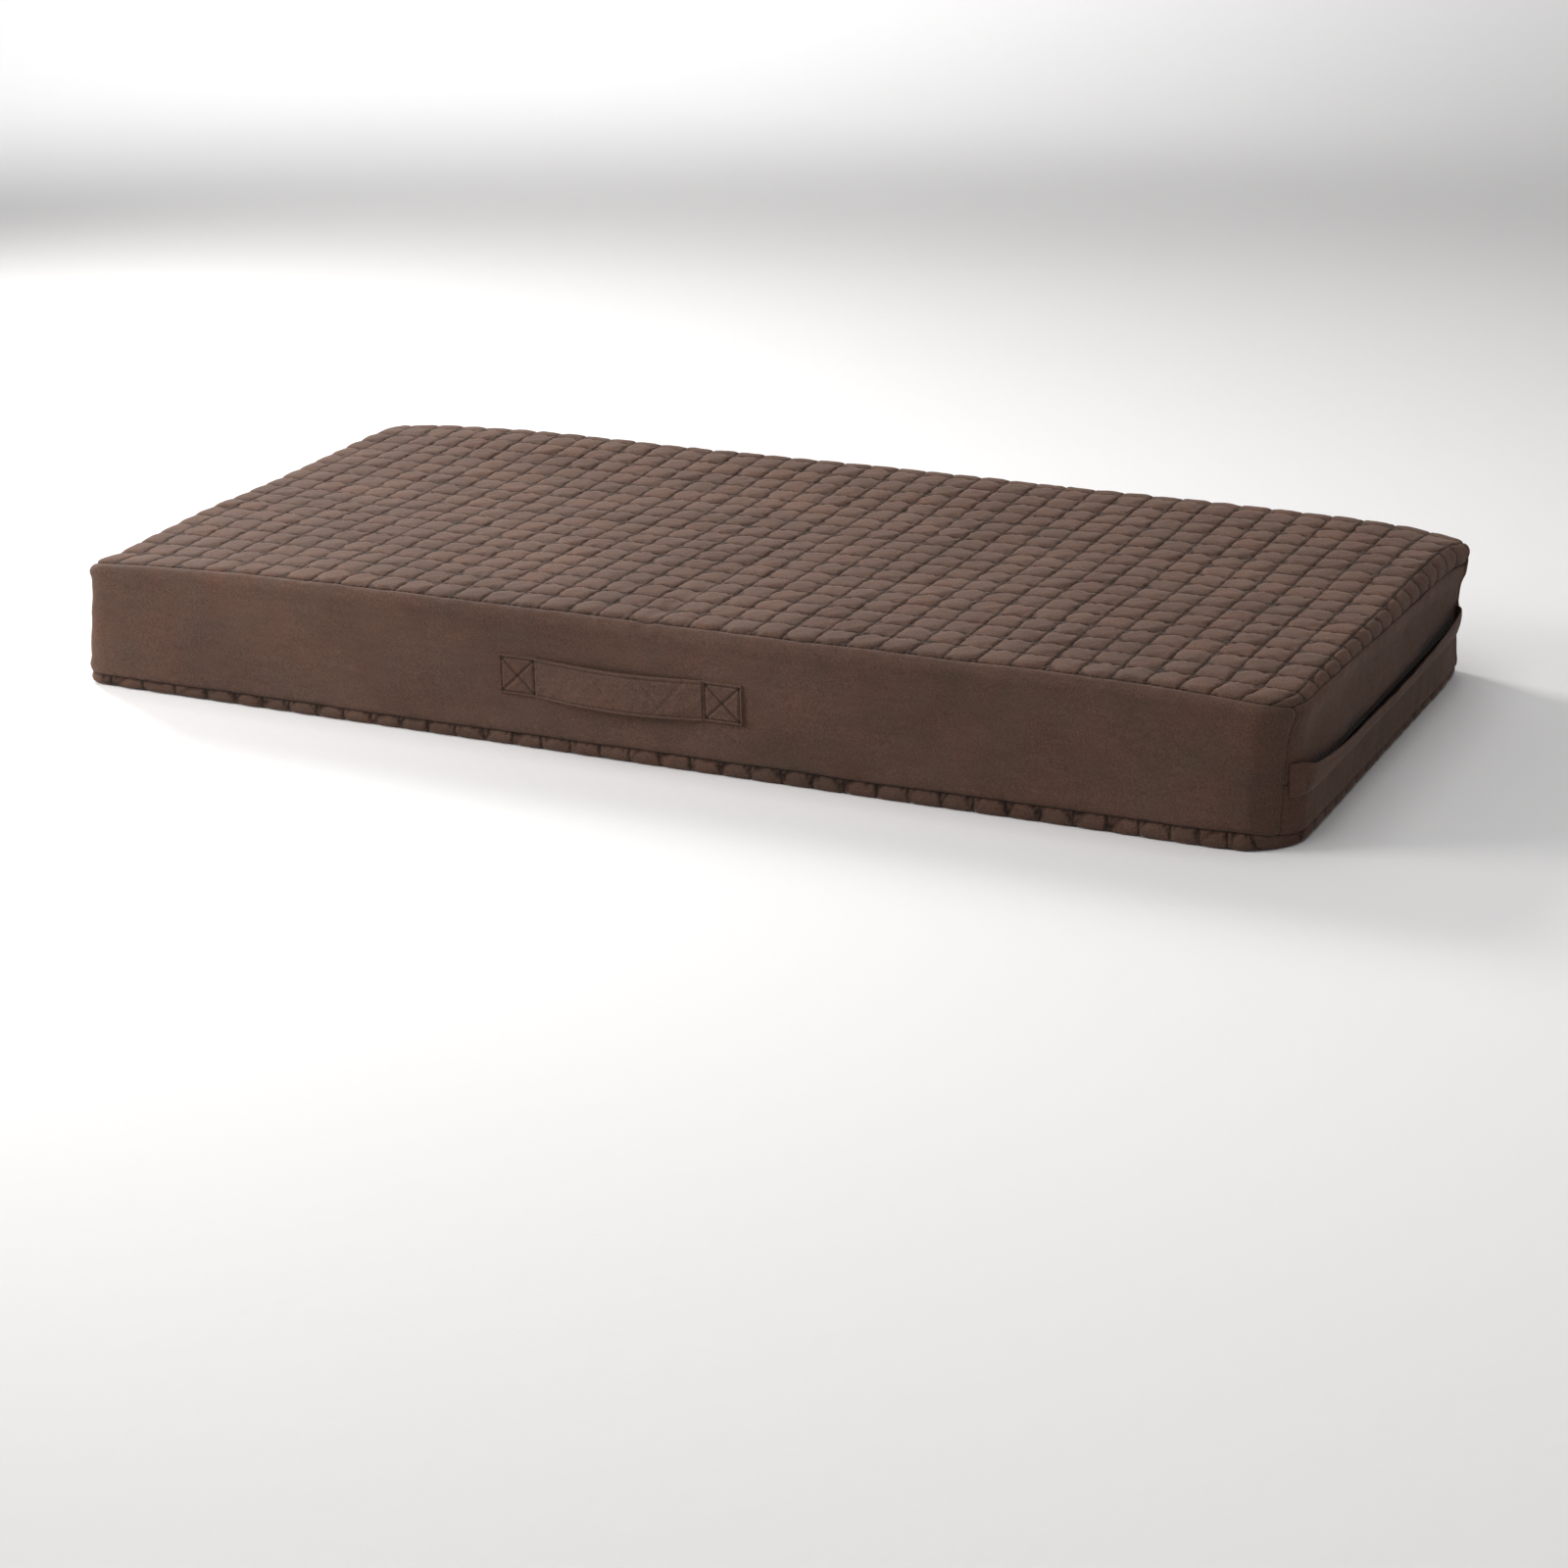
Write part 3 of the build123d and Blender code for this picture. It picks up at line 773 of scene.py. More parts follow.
BAND_STEPS = 30
BAND_T = 0.001
TOP_SEAM = 0.0018  # how far from each of its seams the band is drawn in
FOOT_SEAM = 0.0012
END_SEAM = 0.002
END_DEPTH = 0.0017
HEM_REACH = 0.0012
HEM_DEPTH = 0.0016
TOP_ROLL = (0.0018, 0.010, 0.008)  # rolls of cloth by a seam: height, distance from it, width
FOOT_ROLL = (0.0008, 0.006, 0.006)
END_ROLL = (0.0006, 0.006, 0.005)
PUCKER = 0.0006


def roll(distance, height, place, width):
    """A soft roll of cloth beside a seam."""
    return height * bump(distance - place, width)


def w_at(z):
    """Distance along the cloth from the core to height z on a side."""
    return TOP_HALF + HEIGHT / 2 - z


def band_lift(travel, from_top, from_foot, from_ends):
    """How far the band stands off the rounded box: seams drawn in, a soft roll, fine wrinkles."""
    lift = -STITCH_DEPTH * (fading(from_top, TOP_SEAM) + fading(from_foot, FOOT_SEAM))
    lift = lift + roll(from_top, *TOP_ROLL) + roll(from_foot, *FOOT_ROLL)
    lift = lift - END_DEPTH * fading(from_ends, END_SEAM) + roll(from_ends, *END_ROLL)
    wrinkle = 0.0006 * noise(travel + 0.5 * from_top, from_top, 0.045, 22)
    wrinkle = wrinkle + 0.00035 * noise(travel - 0.8 * from_top, 3 * from_top, 0.02, 23)
    drawn = fading(np.minimum(from_top, from_foot), 0.010) * (1 - fading(from_top, 0.003))
    wrinkle = wrinkle + PUCKER * drawn * noise(travel, from_top, 0.007, 21)
    return lift + wrinkle * (1 - fading(from_ends, 0.006))


def between(top, foot, columns, w):
    """Core points and directions at distances w down columns that join the two outlines."""
    start, stop = top["w"][columns][:, None], foot["w"][columns][:, None]
    down = (w - start) / (stop - start)
    mixed = [
        top[k][columns][:, None] * (1 - down) + foot[k][columns][:, None] * down
        for k in ("cx", "cy", "nx", "ny")
    ]
    length = np.hypot(mixed[2], mixed[3])
    return mixed[0], mixed[1], mixed[2] / length, mixed[3] / length


def band_piece(node, top, foot, columns, w_low, w_high, travel, hems=(False, False)):
    """A piece of the side band over some columns of the outlines, between two lines on the cover."""
    share = eased(BAND_STEPS, 0.11)[None, :]
    w = w_low[:, None] * (1 - share) + w_high[:, None] * share
    cx, cy, nx, ny = between(top, foot, columns, w)
    from_top = w - top["w"][columns][:, None]
    from_foot = foot["w"][columns][:, None] - w
    from_ends = np.minimum(np.abs(travel - travel[0]), np.abs(travel - travel[-1]))[:, None]
    lift = band_lift(travel[:, None], from_top, from_foot, from_ends)
    for hemmed, from_edge in zip(hems, (w - w_low[:, None], w_high[:, None] - w)):
        lift = lift - hemmed * HEM_DEPTH * fading(from_edge, HEM_REACH)
    points = on_cover(cx, cy, nx, ny, w, lift)
    faces = grid_faces(*points.shape[:2], flip=True)
    piece = mesh_object(node + "_cloth", points, faces, SUEDE_BAND)
    # Painted shade: the band is darkened along its seams at the top and, more, at the foot.
    set_rise_and_shade(piece, 1 - 0.7 * fading(from_top, 0.0010) - 0.95 * fading(from_foot, 0.0020))
    thick = piece.modifiers.new("thickness", "SOLIDIFY")
    thick.thickness = BAND_T
    thick.offset = -1
    fixed(piece, "suede_brown", node)


def zip_half_gap(y):
    """Half the opening between the folded edges beside the zip, which closes beyond its ends."""
    return ZIP_GAP * np.clip((ZIP_HALF + 0.008 - np.abs(y)) / 0.006, 0.04, 1)


def side_bands(top, foot):
    """The five pieces of the side band. Returns the four corner seams' columns."""
    count = len(top["w"])
    gaps = np.linalg.norm(np.diff(top["points"], axis=0, append=top["points"][:1]), axis=1)
    travel = np.concatenate([[0], np.cumsum(gaps)])[:-1]
    end_side = np.abs(top["points"][:, 0]) > CORE_X
    corner = []
    for side_x, side_y in ((1, -1), (1, 1), (-1, 1), (-1, -1)):
        on_end = end_side & (np.sign(top["points"][:, 0]) == side_x)
        off = np.abs(top["points"][:, 1] - side_y * CORE_Y) + np.where(on_end, 0, 1)
        corner.append(int(np.argmin(off)))

    def columns_between(a, b):
        return np.arange(a, b + 1 if b > a else b + count + 1) % count

    def run(columns):
        steps = gaps[columns][:-1]
        return travel[columns[0]] + np.concatenate([[0], np.cumsum(steps)])

    front, zip_end, back, plain = (
        columns_between(corner[3], corner[0]),
        columns_between(corner[0], corner[1]),
        columns_between(corner[1], corner[2]),
        columns_between(corner[2], corner[3]),
    )
    for node, columns in (("front_band", front), ("back_band", back), ("plain_end_band", plain)):
        band_piece(node, top, foot, columns, top["w"][columns], foot["w"][columns], run(columns))
    half_gap = zip_half_gap(top["points"][zip_end, 1])
    band_piece("zip_end_upper_band", top, foot, zip_end, top["w"][zip_end],
               w_at(ZIP_Z + half_gap), run(zip_end), (False, True))
    band_piece("zip_end_lower_band", top, foot, zip_end, w_at(ZIP_Z - half_gap),
               foot["w"][zip_end], run(zip_end), (True, False))
    return corner


CORNER_SEAM_STEPS = 60
CORNER_SEAM_INSET = 0.002


def corner_runs(top, foot, corner):
    """The stitches of the four upright corner seams."""
    runs = []
    for column in corner:
        start, stop = top["w"][column] + CORNER_SEAM_INSET, foot["w"][column] - CORNER_SEAM_INSET
        w = np.linspace(start, stop, CORNER_SEAM_STEPS)
        place = [row[0] for row in between(top, foot, np.array([column]), w[None, :])]
        points = on_cover(*place, w, np.full(w.shape, -STITCH_DEPTH))
        runs.append((points, np.stack([place[2], place[3], 0 * w], -1)))
    return runs


# ---------------------------------------------------------------- foam

FOAM_STEPS = 8
FOAM_DEPTH = LINING_DEPTH + 0.001  # the foam's face, below the rounded box
FOAM_BELLY = 0.003  # how much further out its sides are at the split


def foam_block(name, face, w_split, node, under, material, slot):
    """A foam slab with softly rounded edges, inside a quilted face and cut flat at the split."""
    pick = np.ix_(range(0, face["w"].shape[0], SEGMENTS), range(0, face["w"].shape[1], SEGMENTS))
    cx, cy, nx, ny, w = (face[k][pick] for k in ("cx", "cy", "nx", "ny", "w"))
    cap = on_cover(cx, cy, nx, ny, w, np.full(w.shape, -FOAM_DEPTH))
    rim = rim_indices(*w.shape)
    loop = [a[rim[:, 0], rim[:, 1]][None, :] for a in (cx, cy, nx, ny)]
    share = np.linspace(0, 1, FOAM_STEPS)[:, None]
    side_w = w[rim[:, 0], rim[:, 1]][None, :] * (1 - share) + w_split * share
    depth = -FOAM_DEPTH + FOAM_BELLY * np.sin(math.pi / 2 * share) * np.ones_like(side_w)
    side = on_cover(*loop, side_w, depth)
    flat = cap.copy()
    flat[..., 2] = side[-1, :, 2].mean()
    flat[rim[:, 0], rim[:, 1]] = side[-1]
    rows, columns = w.shape
    faces = grid_faces(rows, columns, flip=under)
    start = rows * columns
    faces += grid_faces(FOAM_STEPS, len(rim), start, flip=not under, closed=True)
    faces += grid_faces(rows, columns, start + side.shape[0] * len(rim), flip=not under)
    points = np.concatenate([cap.reshape(-1, 3), side.reshape(-1, 3), flat.reshape(-1, 3)])
    piece = mesh_object(name, points, faces, material)
    weld = piece.modifiers.new("weld", "WELD")
    weld.merge_threshold = 0.00005
    fixed(piece, slot, node)


# ---------------------------------------------------------------- zip

def zip_tape(name, side):
    """A woven tape that curves a little, with a thicker corded edge beside its coil."""
    low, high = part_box(name)
    y = np.linspace(low.y, high.y, 120)
    q = np.linspace(0, 1, 9)
    inner_z, outer_z = (low.z, high.z) if side > 0 else (high.z, low.z)
    z = inner_z + (outer_z - inner_z) * q
    front = high.x + 0.0002 * np.sin(math.pi * q) + 0.0003 * bump(q, 0.1)
    section = np.concatenate([np.stack([front, z], -1), np.stack([low.x + 0 * z, z], -1)[::-1]])
    if side < 0:
        section = section[::-1]
    stations = [[(x, place, height) for x, height in section] for place in y]
    piece = tube(name + "_cloth", stations, TAPE)
    fixed(piece, "zip_tape", name)


COIL_PITCH = 0.0016
COIL_WIRE_R = 0.0003


def zip_coil(name, side):
    """The nylon coil, wound turn by turn."""
    low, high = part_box(name)
    turns = int((high.y - low.y) / COIL_PITCH)
    angle = np.linspace(0, 2 * math.pi * turns, turns * 9 + 1)
    mid_x, mid_z = (low.x + high.x) / 2, (low.z + high.z) / 2
    half_x = (high.x - low.x) / 2 - COIL_WIRE_R
    half_z = (high.z - low.z) / 2 - COIL_WIRE_R
    x = mid_x + half_x * np.sin(angle)
    z = mid_z + side * half_z * np.cos(angle) + side * 0.0006 * np.clip(np.cos(angle), -1, 0)
    y = low.y + (high.y - low.y) * angle / angle[-1]
    curve = bpy.data.curves.new(name + "_wound", "CURVE")
    curve.dimensions = "3D"
    curve.bevel_depth = COIL_WIRE_R
    curve.bevel_resolution = 0
    spline = curve.splines.new("POLY")
    spline.points.add(len(angle) - 1)
    spline.points.foreach_set("co", np.stack([x, y, z, np.ones_like(x)], -1).ravel())
    wound = bpy.data.objects.new("winding", curve)
    mesh = bpy.data.meshes.new_from_object(wound)
    bpy.data.objects.remove(wound)
    piece = bpy.data.objects.new(name + "_wound", mesh)
    bpy.context.scene.collection.objects.link(piece)
    mesh.materials.clear()
    mesh.materials.append(NYLON)
    mesh.polygons.foreach_set("use_smooth", [True] * len(mesh.polygons))
    fixed(piece, "zip_nylon", name)


def zip_metal():
    """The slider, its pull and the stops keep their CAD shape, with softened edges and plating."""
    for name in ("zip_slider", "zip_pull", "zip_stops"):
        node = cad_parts[name]
        node.data.materials.clear()
        node.data.materials.append(METAL)
        soften = node.modifiers.new("soft_edges", "BEVEL")
        soften.width = 0.00018
        soften.segments = 2
        soften.limit_method = "ANGLE"


FLAP_STEPS = 9
FLAP_HEM = 0.8  # the row of hem stitches, as a share of the way up
FLAP_STAND = 0.0073  # how far its free edge stands off the band
FLAP_CURVE = 0.75  # it leaves the band steeply, so that the slider passes behind it
FLAP_BELLY = 0.0012
FLAP_SAG = 0.0015
FLAP_OFF = 0.0007  # its foot stands this far off the band
FLAP_SUNK = 0.0012  # and its ends go this deep into the corner seams


def flap_lean(y):
    """How far the flap's free edge stands off the band: flat where its ends are sewn down."""
    free = np.maximum(FLAP_HALF - np.abs(y), 0)
    return FLAP_STAND * (1 - fading(free, 0.003)) * (1 + 0.05 * noise(y, 0 * y, 0.05, 31))


def flap_height(y):
    """Length of the flap's cloth at y. Its free edge rises towards both ends."""
    return FLAP_LENGTH + FLAP_LONGER * np.clip(np.abs(y) / FLAP_HALF, 0, 1.1) ** 3


def flap_back(y, t):
    """X, Z and slope of the flap's back at y, at a share t of the way up from its foot."""
    lean = flap_lean(y)
    sag = FLAP_SAG * np.clip(1 - (y / FLAP_HALF) ** 2, 0, 1)
    tall = np.sqrt(flap_height(y) ** 2 - lean**2) - sag + 0.0006 * noise(y, 0 * y + 2, 0.03, 32)
    z = FLAP_FOOT_Z + tall * t
    cover = settle(np.stack(np.broadcast_arrays(END_X, y, z), -1))[..., 0]
    clear = np.clip((FLAP_REACH - np.abs(y)) / 0.006, 0, 1)
    x = cover + FLAP_OFF * clear - FLAP_SUNK * (1 - clear)
    x = x + lean * t**FLAP_CURVE + FLAP_BELLY * clear * np.sin(math.pi * t)
    x = x + 0.0005 * noise(y, t * 0.02, 0.018, 33) * np.clip(lean / 0.004, 0, 1) * t
    return x, z, lean / tall * FLAP_CURVE * np.maximum(t, 0.1) ** (FLAP_CURVE - 1)


def flap_section(y):
    """The flap's closed section at places y, its front's points and their outward normals."""
    y = np.asarray(y, float)[:, None]
    t = np.linspace(0, 1, FLAP_STEPS)[None, :]
    x, z, slope = flap_back(y, t)
    size = np.sqrt(1 + slope**2)
    nx, nz = 1 / size, -slope / size
    rounded = FLAP_T / 2 * np.sqrt(np.clip(1 - np.maximum(0, (t - 0.94) / 0.08) ** 2, 0, 1))
    groove = 0.0003 * bump(t - FLAP_HEM, 0.04)
    front_x, front_z = x + nx * (rounded + FLAP_T / 2 - groove), z + nz * (rounded - groove)
    back_x, back_z = x + nx * (FLAP_T / 2 - rounded), z - nz * rounded
    y = np.broadcast_to(y, front_x.shape)
    front, back = np.stack([front_x, y, front_z], -1), np.stack([back_x, y, back_z], -1)
    normal = np.stack(np.broadcast_arrays(nx, 0 * y, nz), -1)
    return np.concatenate([front, back[:, ::-1]], axis=1), front, normal


def zip_flap():
    """The flap: two halves that meet at its middle, its hem stitches, and its sewn ends with their
    stitches.
    """
    hem = int(round(FLAP_HEM * (FLAP_STEPS - 1)))
    whole, front, normal = flap_section(np.linspace(-FLAP_HALF, FLAP_HALF, 261))
    halves = tube_halves(("zip_flap_front", "zip_flap_back"), whole, SUEDE_BAND)
    middle = len(front) // 2
    for side, word, half in ((-1, "front", halves[0]), (1, "back", halves[1])):
        part = slice(0, middle + 1) if side < 0 else slice(middle, None)
        seam = stitches("zip_flap_hem_" + word, [(front[part, hem], normal[part, hem])], THREAD)
        bending(half, "zip_flap")
        bending(seam, "zip_flap_hem_thread")
        stations, end_front, end_normal = flap_section(
            np.sort(side * np.linspace(FLAP_HALF, FLAP_REACH, 24))
        )
        sewn = tube("zip_flap_sewn_end_" + word, stations, SUEDE_BAND)
        rows = [(end_front[:, k], end_normal[:, k]) for k in (1, hem)]
        threads = stitches("zip_flap_end_stitches_" + word, rows, THREAD)
        fixed(sewn, "suede_brown", "zip_flap_sewn_ends")
        fixed(threads, "thread", "zip_flap_end_threads")


# ---------------------------------------------------------------- handle

GRIP_MARGIN = 0.0003  # the free strap meets its sewn ends this far outside the CAD's grip
GROOVE_WIDTH = 0.0011
STRAP_GROOVE = 0.0008  # depth of the stitched grooves along the strap
PAD_GROOVE = 0.0012  # and of those in its sewn ends
PAD_STITCH = 0.00115  # how deep the stitches lie there
PAD_IN = 0.0004  # the sewn ends sit this deep in the band
PAD_EDGE = 0.0013
FACING_FRONT = [0.0, -1.0, 0.0]


def front_y(x, z):
    """Where the front band's face is."""
    flat = settle(np.stack(np.broadcast_arrays(x, -SIDE_Y + 0 * x, z), -1))
    return flat[..., 1] - 0.0006


def strap_profile(q):
    """Thickness of the strap across its width, q from -1 to 1: round edges, sewn-in grooves and
    a puffed middle."""
    edge = np.clip((np.abs(q) - 0.93) / 0.075, 0, 1)
    groove = STRAP_GROOVE * bump((np.abs(q) - 1) * STRAP_HALF + STITCH_IN, GROOVE_WIDTH)
    return STRAP_T * np.sqrt(1 - edge**2) - groove + 0.0004 * (1 - q**2)


def strap_line(x):
    """The free strap's stand-off and droop at x."""
    t = np.clip((x - GRIP_LOW.x) / (GRIP_HIGH.x - GRIP_LOW.x), 0, 1)
    bow = np.sin(math.pi * t)
    return 0.0003 + STRAP_RISE * bow**1.15, STRAP_DROOP * bow**0.9


def strap_surface(x, q):
    """Points of the strap's face and back at places along and across it."""
    off, droop = strap_line(x)
    z = HANDLE_Z - droop + q * STRAP_HALF
    wrinkle = 0.0004 * noise(x + z, 2 * (x - z), 0.016, 41) + 0.0002 * noise(x, z, 0.006, 42)
    for shift, slope in ((0.008, 0.8), (0.026, -0.9), (-0.042, 0.9)):
        wrinkle = wrinkle - 0.0006 * bump(x - shift + slope * (z - HANDLE_Z), 0.0018)
    wrinkle = wrinkle * np.clip(1 - q**4, 0, 1)
    lean = 0.0012 * q * np.clip(off / 0.004, 0, 1)
    base = front_y(x, HANDLE_Z + 0 * z) - off + lean
    return base, z, strap_profile(q) + wrinkle


def free_strap():
    """The grip: two halves from the sewn ends to the middle, with the stitches along its edges."""
    starts = (GRIP_LOW.x - GRIP_MARGIN, GRIP_HIGH.x + GRIP_MARGIN)
    outer = np.sin(np.linspace(-1, 1, 27) * QUARTER)
    inner = np.linspace(1, -1, 9)[1:-1]
    x = np.linspace(*starts, 141)[:, None]
    base, z, thick = strap_surface(x, outer[None, :])
    face = np.stack([np.broadcast_to(x, z.shape), base - thick, z], -1)
    base_in, z_in, _ = strap_surface(x, inner[None, :])
    back = np.stack([np.broadcast_to(x, z_in.shape), base_in - 0.0001, z_in], -1)
    stations = np.concatenate([face, back], 1)[:, ::-1]
    halves = tube_halves(("handle_grip_left", "handle_grip_right"), stations, SUEDE_BAND)
    # Painted shade in the stitched grooves along the strap's edges.
    sewn = 1 - 0.85 * bump((np.abs(outer) - 1) * STRAP_HALF + STITCH_IN, GROOVE_WIDTH)
    across = np.concatenate([sewn, np.ones(len(inner))])[::-1]
    for number, (word, half) in enumerate(zip(("left", "right"), halves)):
        set_rise_and_shade(half, np.tile(across, len(half.data.vertices) // len(across)))
        part = slice(0, 71) if number == 0 else slice(70, None)
        runs = []
        for side in (-1, 1):
            q = np.full((1, 1), side * (1 - STITCH_IN / STRAP_HALF))
            base, z, thick = strap_surface(x[part], q)
            line = np.stack([x[part], base - thick, z], -1)[:, 0]
            runs.append((line, np.tile(FACING_FRONT, (len(line), 1))))
        seam = stitches("handle_edge_stitches_" + word, runs, DARK_THREAD, size=HANDLE_STITCH)
        bending(half, "handle_grip")
        bending(seam, "handle_edge_threads")


def box_lines(x_low, x_high):
    """The sewn rectangle and its cross on a strap end, as (start, stop) points in x and z."""
    a, b = x_low + STITCH_IN, x_high - STITCH_IN
    c, d = HANDLE_Z - STRAP_HALF + STITCH_IN, HANDLE_Z + STRAP_HALF - STITCH_IN
    around = [((a, c), (b, c)), ((b, c), (b, d)), ((b, d), (a, d)), ((a, d), (a, c))]
    return around + [((a, c), (b, d)), ((a, d), (b, c))]


def line_distance(x, z, start, stop):
    """Distance of points from a straight line between two points."""
    ax, az = start
    bx, bz = stop
    run = (bx - ax) ** 2 + (bz - az) ** 2
    t = np.clip(((x - ax) * (bx - ax) + (z - az) * (bz - az)) / run, 0, 1)
    return np.hypot(x - ax - t * (bx - ax), z - az - t * (bz - az))


def sewn_pad(name, x_low, x_high, closed):
    """A sewn-down end: a flattened pad with grooves along the stitched box and cross, and round
    edges but for the one where the free strap begins."""
    across = np.linspace(-1, 1, 47) * STRAP_HALF + HANDLE_Z
    x, z = np.meshgrid(np.linspace(x_low, x_high, 49), across, indexing="ij")
    lines = box_lines(x_low, x_high)
    groove = sum(bump(line_distance(x, z, *line), GROOVE_WIDTH) for line in lines)
    edge = np.minimum(STRAP_HALF - np.abs(z - HANDLE_Z), np.abs(x - closed))
    rounded = np.sqrt(np.clip(1 - np.clip(1 - edge / PAD_EDGE, 0, 1) ** 2, 0, 1))
    thick = (STRAP_T - PAD_GROOVE * np.minimum(groove, 1.2)) * rounded
    thick = thick + 0.00025 * noise(x + z, x - z, 0.007, 51) * rounded
    base = front_y(x, z) + PAD_IN
    rows, columns = x.shape
    rim = rim_indices(rows, columns)
    i, j = rim[:, 0], rim[:, 1]
    back = np.stack([x[i, j], base[i, j] + 0.0002, z[i, j]], -1)
    at = (i * columns + j).tolist()
    count, start = len(rim), rows * columns
    faces = grid_faces(rows, columns, flip=True)
    for k in range(count):
        after = (k + 1) % count
        faces.append([at[k], at[after], start + after, start + k])
    faces.append([start + k for k in range(count)])
    points = np.concatenate([np.stack([x, base - thick, z], -1).reshape(-1, 3), back])
    piece = mesh_object(name, points, faces, SUEDE_BAND)
    # Painted shade in the grooves of the stitched box and cross.
    set_rise_and_shade(piece, 1 - 0.85 * np.minimum(groove, 1))
    return piece


def box_runs(x_low, x_high):
    """The rows of stitches of a strap end's box and cross."""
    t = np.linspace(0, 1, 30)
    runs = []
    for (ax, az), (bx, bz) in box_lines(x_low, x_high):
        x, z = ax + (bx - ax) * t, az + (bz - az) * t
        y = front_y(x, z) + PAD_IN - STRAP_T + PAD_STITCH
        runs.append((np.stack([x, y, z], -1), np.tile(FACING_FRONT, (len(t), 1))))
    return runs


def sewn_strap_ends():
    """The two sewn-down ends of the strap and their stitches."""
    width = GRIP_LOW.x - GRIP_MARGIN - ENDS_LOW.x
    spans = (("left", ENDS_LOW.x, ENDS_LOW.x), ("right", ENDS_HIGH.x - width, ENDS_HIGH.x))
    for word, x_low, closed in spans:
        x_high = x_low + width
        piece = sewn_pad("handle_sewn_end_" + word, x_low, x_high, closed)
        threads = stitches("handle_box_stitches_" + word, box_runs(x_low, x_high), DARK_THREAD,
                           size=HANDLE_STITCH)
        fixed(piece, "suede_brown", "handle_sewn_ends")
        fixed(threads, "thread", "handle_box_threads")


# ---------------------------------------------------------------- studio

CAMERA_PLACE = (1.3322, -2.7165, 1.0033)
CAMERA_TURN = (26.12, -20.21, -1.22)  # degrees: round the upright, up, and about its own axis
CAMERA_LENS = 75.23


def camera():
    """The camera at the photograph's angle."""
    data = bpy.data.cameras.new("camera")
    data.lens = CAMERA_LENS
    data.sensor_width = 36.0
    data.clip_end = 50.0
    eye = bpy.data.objects.new("camera", data)
    bpy.context.scene.collection.objects.link(eye)
    turn, up, roll = (math.radians(a) for a in CAMERA_TURN)
    facing = Matrix.Rotation(turn, 4, "Z") @ Matrix.Rotation(math.pi / 2 + up, 4, "X")
    facing = facing @ Matrix.Rotation(roll, 4, "Z")
    eye.matrix_world = Matrix.Translation(CAMERA_PLACE) @ facing
    bpy.context.scene.camera = eye


FLOOR_ROWS = [-8.0, -2.0]  # rows of points on its flat part, along Y
BACKDROP_BACK = 3.2  # where the floor begins to curve up
BACKDROP_R = 1.6
BACKDROP_HALF = 7.0
BACKDROP_TOP = 6.0


def backdrop():
    """A pale floor that curves up into a wall behind the bed."""
    turn = np.linspace(0, math.pi / 2, 24)
    curve = BACKDROP_BACK + BACKDROP_R * np.sin(turn)
    y = np.concatenate([FLOOR_ROWS, curve, [BACKDROP_BACK + BACKDROP_R]])
    z = np.concatenate([[0.0, 0.0], BACKDROP_R * (1 - np.cos(turn)), [BACKDROP_TOP]])
    x = np.linspace(-BACKDROP_HALF, BACKDROP_HALF, 13)
    points = np.stack(np.broadcast_arrays(x[:, None], y[None, :], z[None, :]), -1)
    floor = mesh_object("floor", points, grid_faces(len(x), len(y)), stage_material())


def area_light(name, place, target, size, power, colour, spread=180):
    """A soft square light that faces target, with its beam's spread in degrees."""
    data = bpy.data.lights.new(name, "AREA")
    data.spread = math.radians(spread)
    data.energy = power
    data.size = size
    data.color = colour
    lamp = bpy.data.objects.new(name, data)
    bpy.context.scene.collection.objects.link(lamp)
    lamp.location = place
    lamp.rotation_euler = (Vector(target) - Vector(place)).to_track_quat("-Z", "Y").to_euler()


WARM = (1.0, 0.985, 0.97)
WHITE = (1.0, 1.0, 1.0)
SKY = 0.27
KEY = 28.0
SIDE = 19.0
OVERHEAD = 54.0
WALL_WASH = 150.0


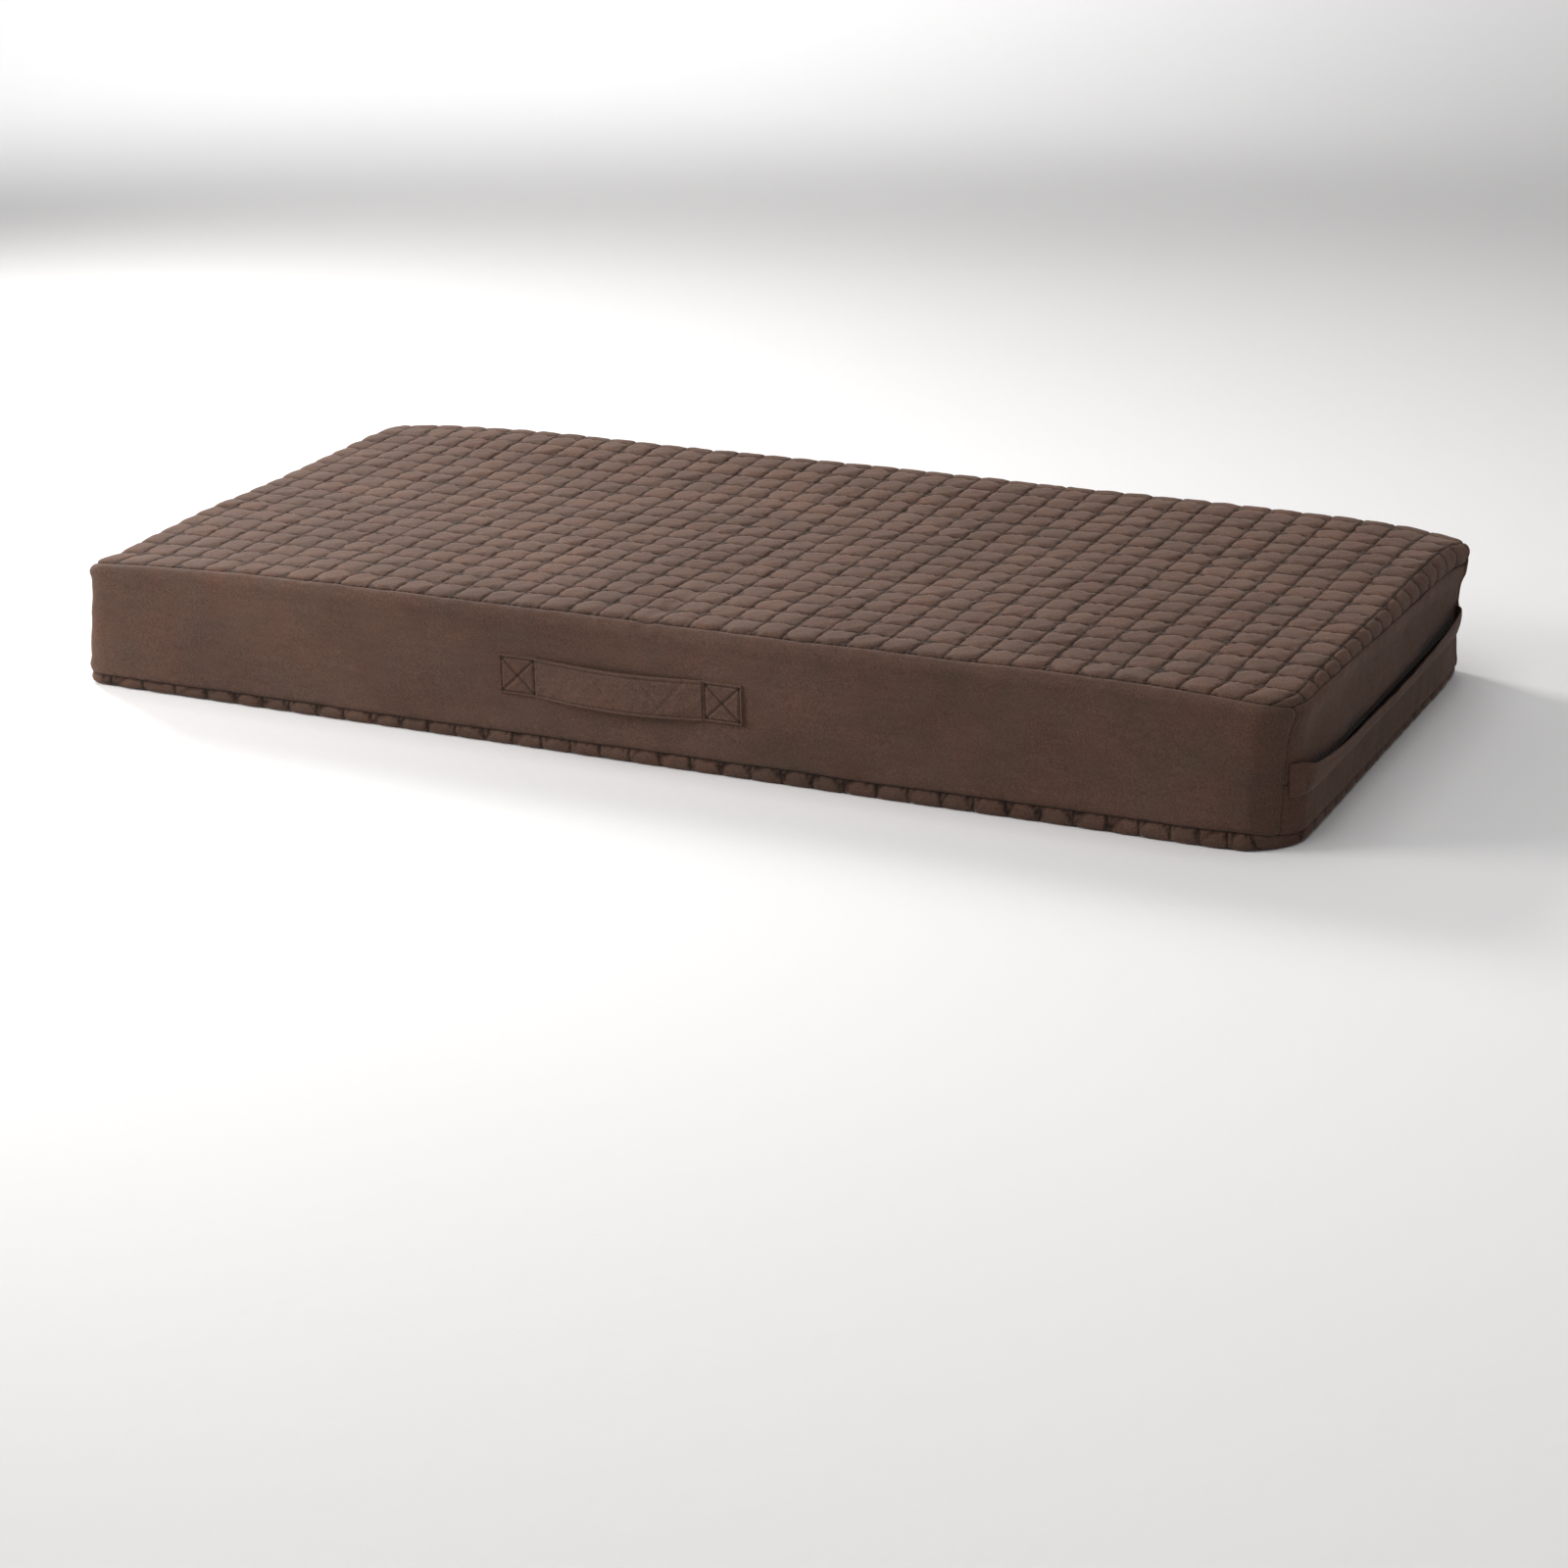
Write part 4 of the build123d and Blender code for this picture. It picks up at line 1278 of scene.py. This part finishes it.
def lights():
    """A soft key from the left and behind, a side light from the left and in front, an overhead
    light, a wash on the wall at the left, and an even white room."""
    world = bpy.data.worlds.new("room")
    world.use_nodes = True
    sky = world.node_tree.nodes["Background"]
    sky.inputs["Color"].default_value = (1.0, 0.992, 0.99, 1)
    sky.inputs["Strength"].default_value = SKY
    bpy.context.scene.world = world
    area_light("key", (-2.9, 1.5, 1.75), (-0.2, 0.0, 0.1), 1.0, KEY, WARM, 90)
    area_light("side", (-1.9, -1.25, 1.15), (-0.4, 0.0, 0.1), 1.0, SIDE, WARM, 110)
    area_light("overhead", (0.2, -0.9, 3.2), (0.2, -0.9, 0.0), 3.0, OVERHEAD, WHITE)
    area_light("wall_wash", (-2.4, 1.6, 3.6), (-3.2, 4.8, 2.4), 2.5, WALL_WASH, WHITE, 130)
    bpy.context.scene.view_settings.view_transform = "Standard"


# ---------------------------------------------------------------- the bed

camera()
backdrop()
lights()

library = simulated_puffs()
top_face = quilted_face(TOP_DROP, library, 101, False)
under_face = quilted_face(FOOT_RISE, library, 211, True)
top_loop, foot_loop = outline(top_face), outline(under_face)

QUILT_LAYERS = ("face_fabric", "wadding", "backing")
for part, face, loop, under in (
    ("top", top_face, top_loop, False),
    ("underside", under_face, foot_loop, True),
):
    quilt = quilt_mesh(part + "_quilt", face, SUEDE, under)
    fixed(quilt, "suede_brown", *(f"{part}_{layer}" for layer in QUILT_LAYERS))
    threads = stitches(part + "_quilting_stitches", quilting_runs(face), THREAD)
    fixed(threads, "thread", part + "_quilting_thread")
    closed = tuple(np.append(loop[k], loop[k][:1], 0) for k in ("points", "normals"))
    seam = stitches(part + "_seam_stitches", [closed], THREAD)
    fixed(seam, "thread", part + "_seam_thread")

corner_columns = side_bands(top_loop, foot_loop)
upright = stitches("corner_seam_stitches", corner_runs(top_loop, foot_loop, corner_columns), THREAD)
fixed(upright, "thread", "corner_seam_threads")

FOAM_SPLIT = w_at(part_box("foam_topper")[0].z)
FOAM_GAP = 0.0005  # each foam ends this far from the split
support = foam_material("support_foam", (0.20, 0.21, 0.23), (0.42, 0.44, 0.47))
comfort = foam_material("comfort_foam", (0.42, 0.38, 0.28), (0.80, 0.74, 0.60))
foam_block("foam_topper_block", top_face, FOAM_SPLIT - FOAM_GAP, "foam_topper", False, comfort,
           "comfort_foam")
foam_block("foam_base_block", under_face, FOAM_SPLIT + FOAM_GAP, "foam_base", True, support,
           "support_foam")

TAPE, NYLON, METAL = tape_material(), nylon_material(), metal_material()
for word, side in (("upper", 1), ("lower", -1)):
    zip_tape("zip_tape_" + word, side)
    zip_coil("zip_coil_" + word, side)
zip_metal()
zip_flap()
sewn_strap_ends()
free_strap()
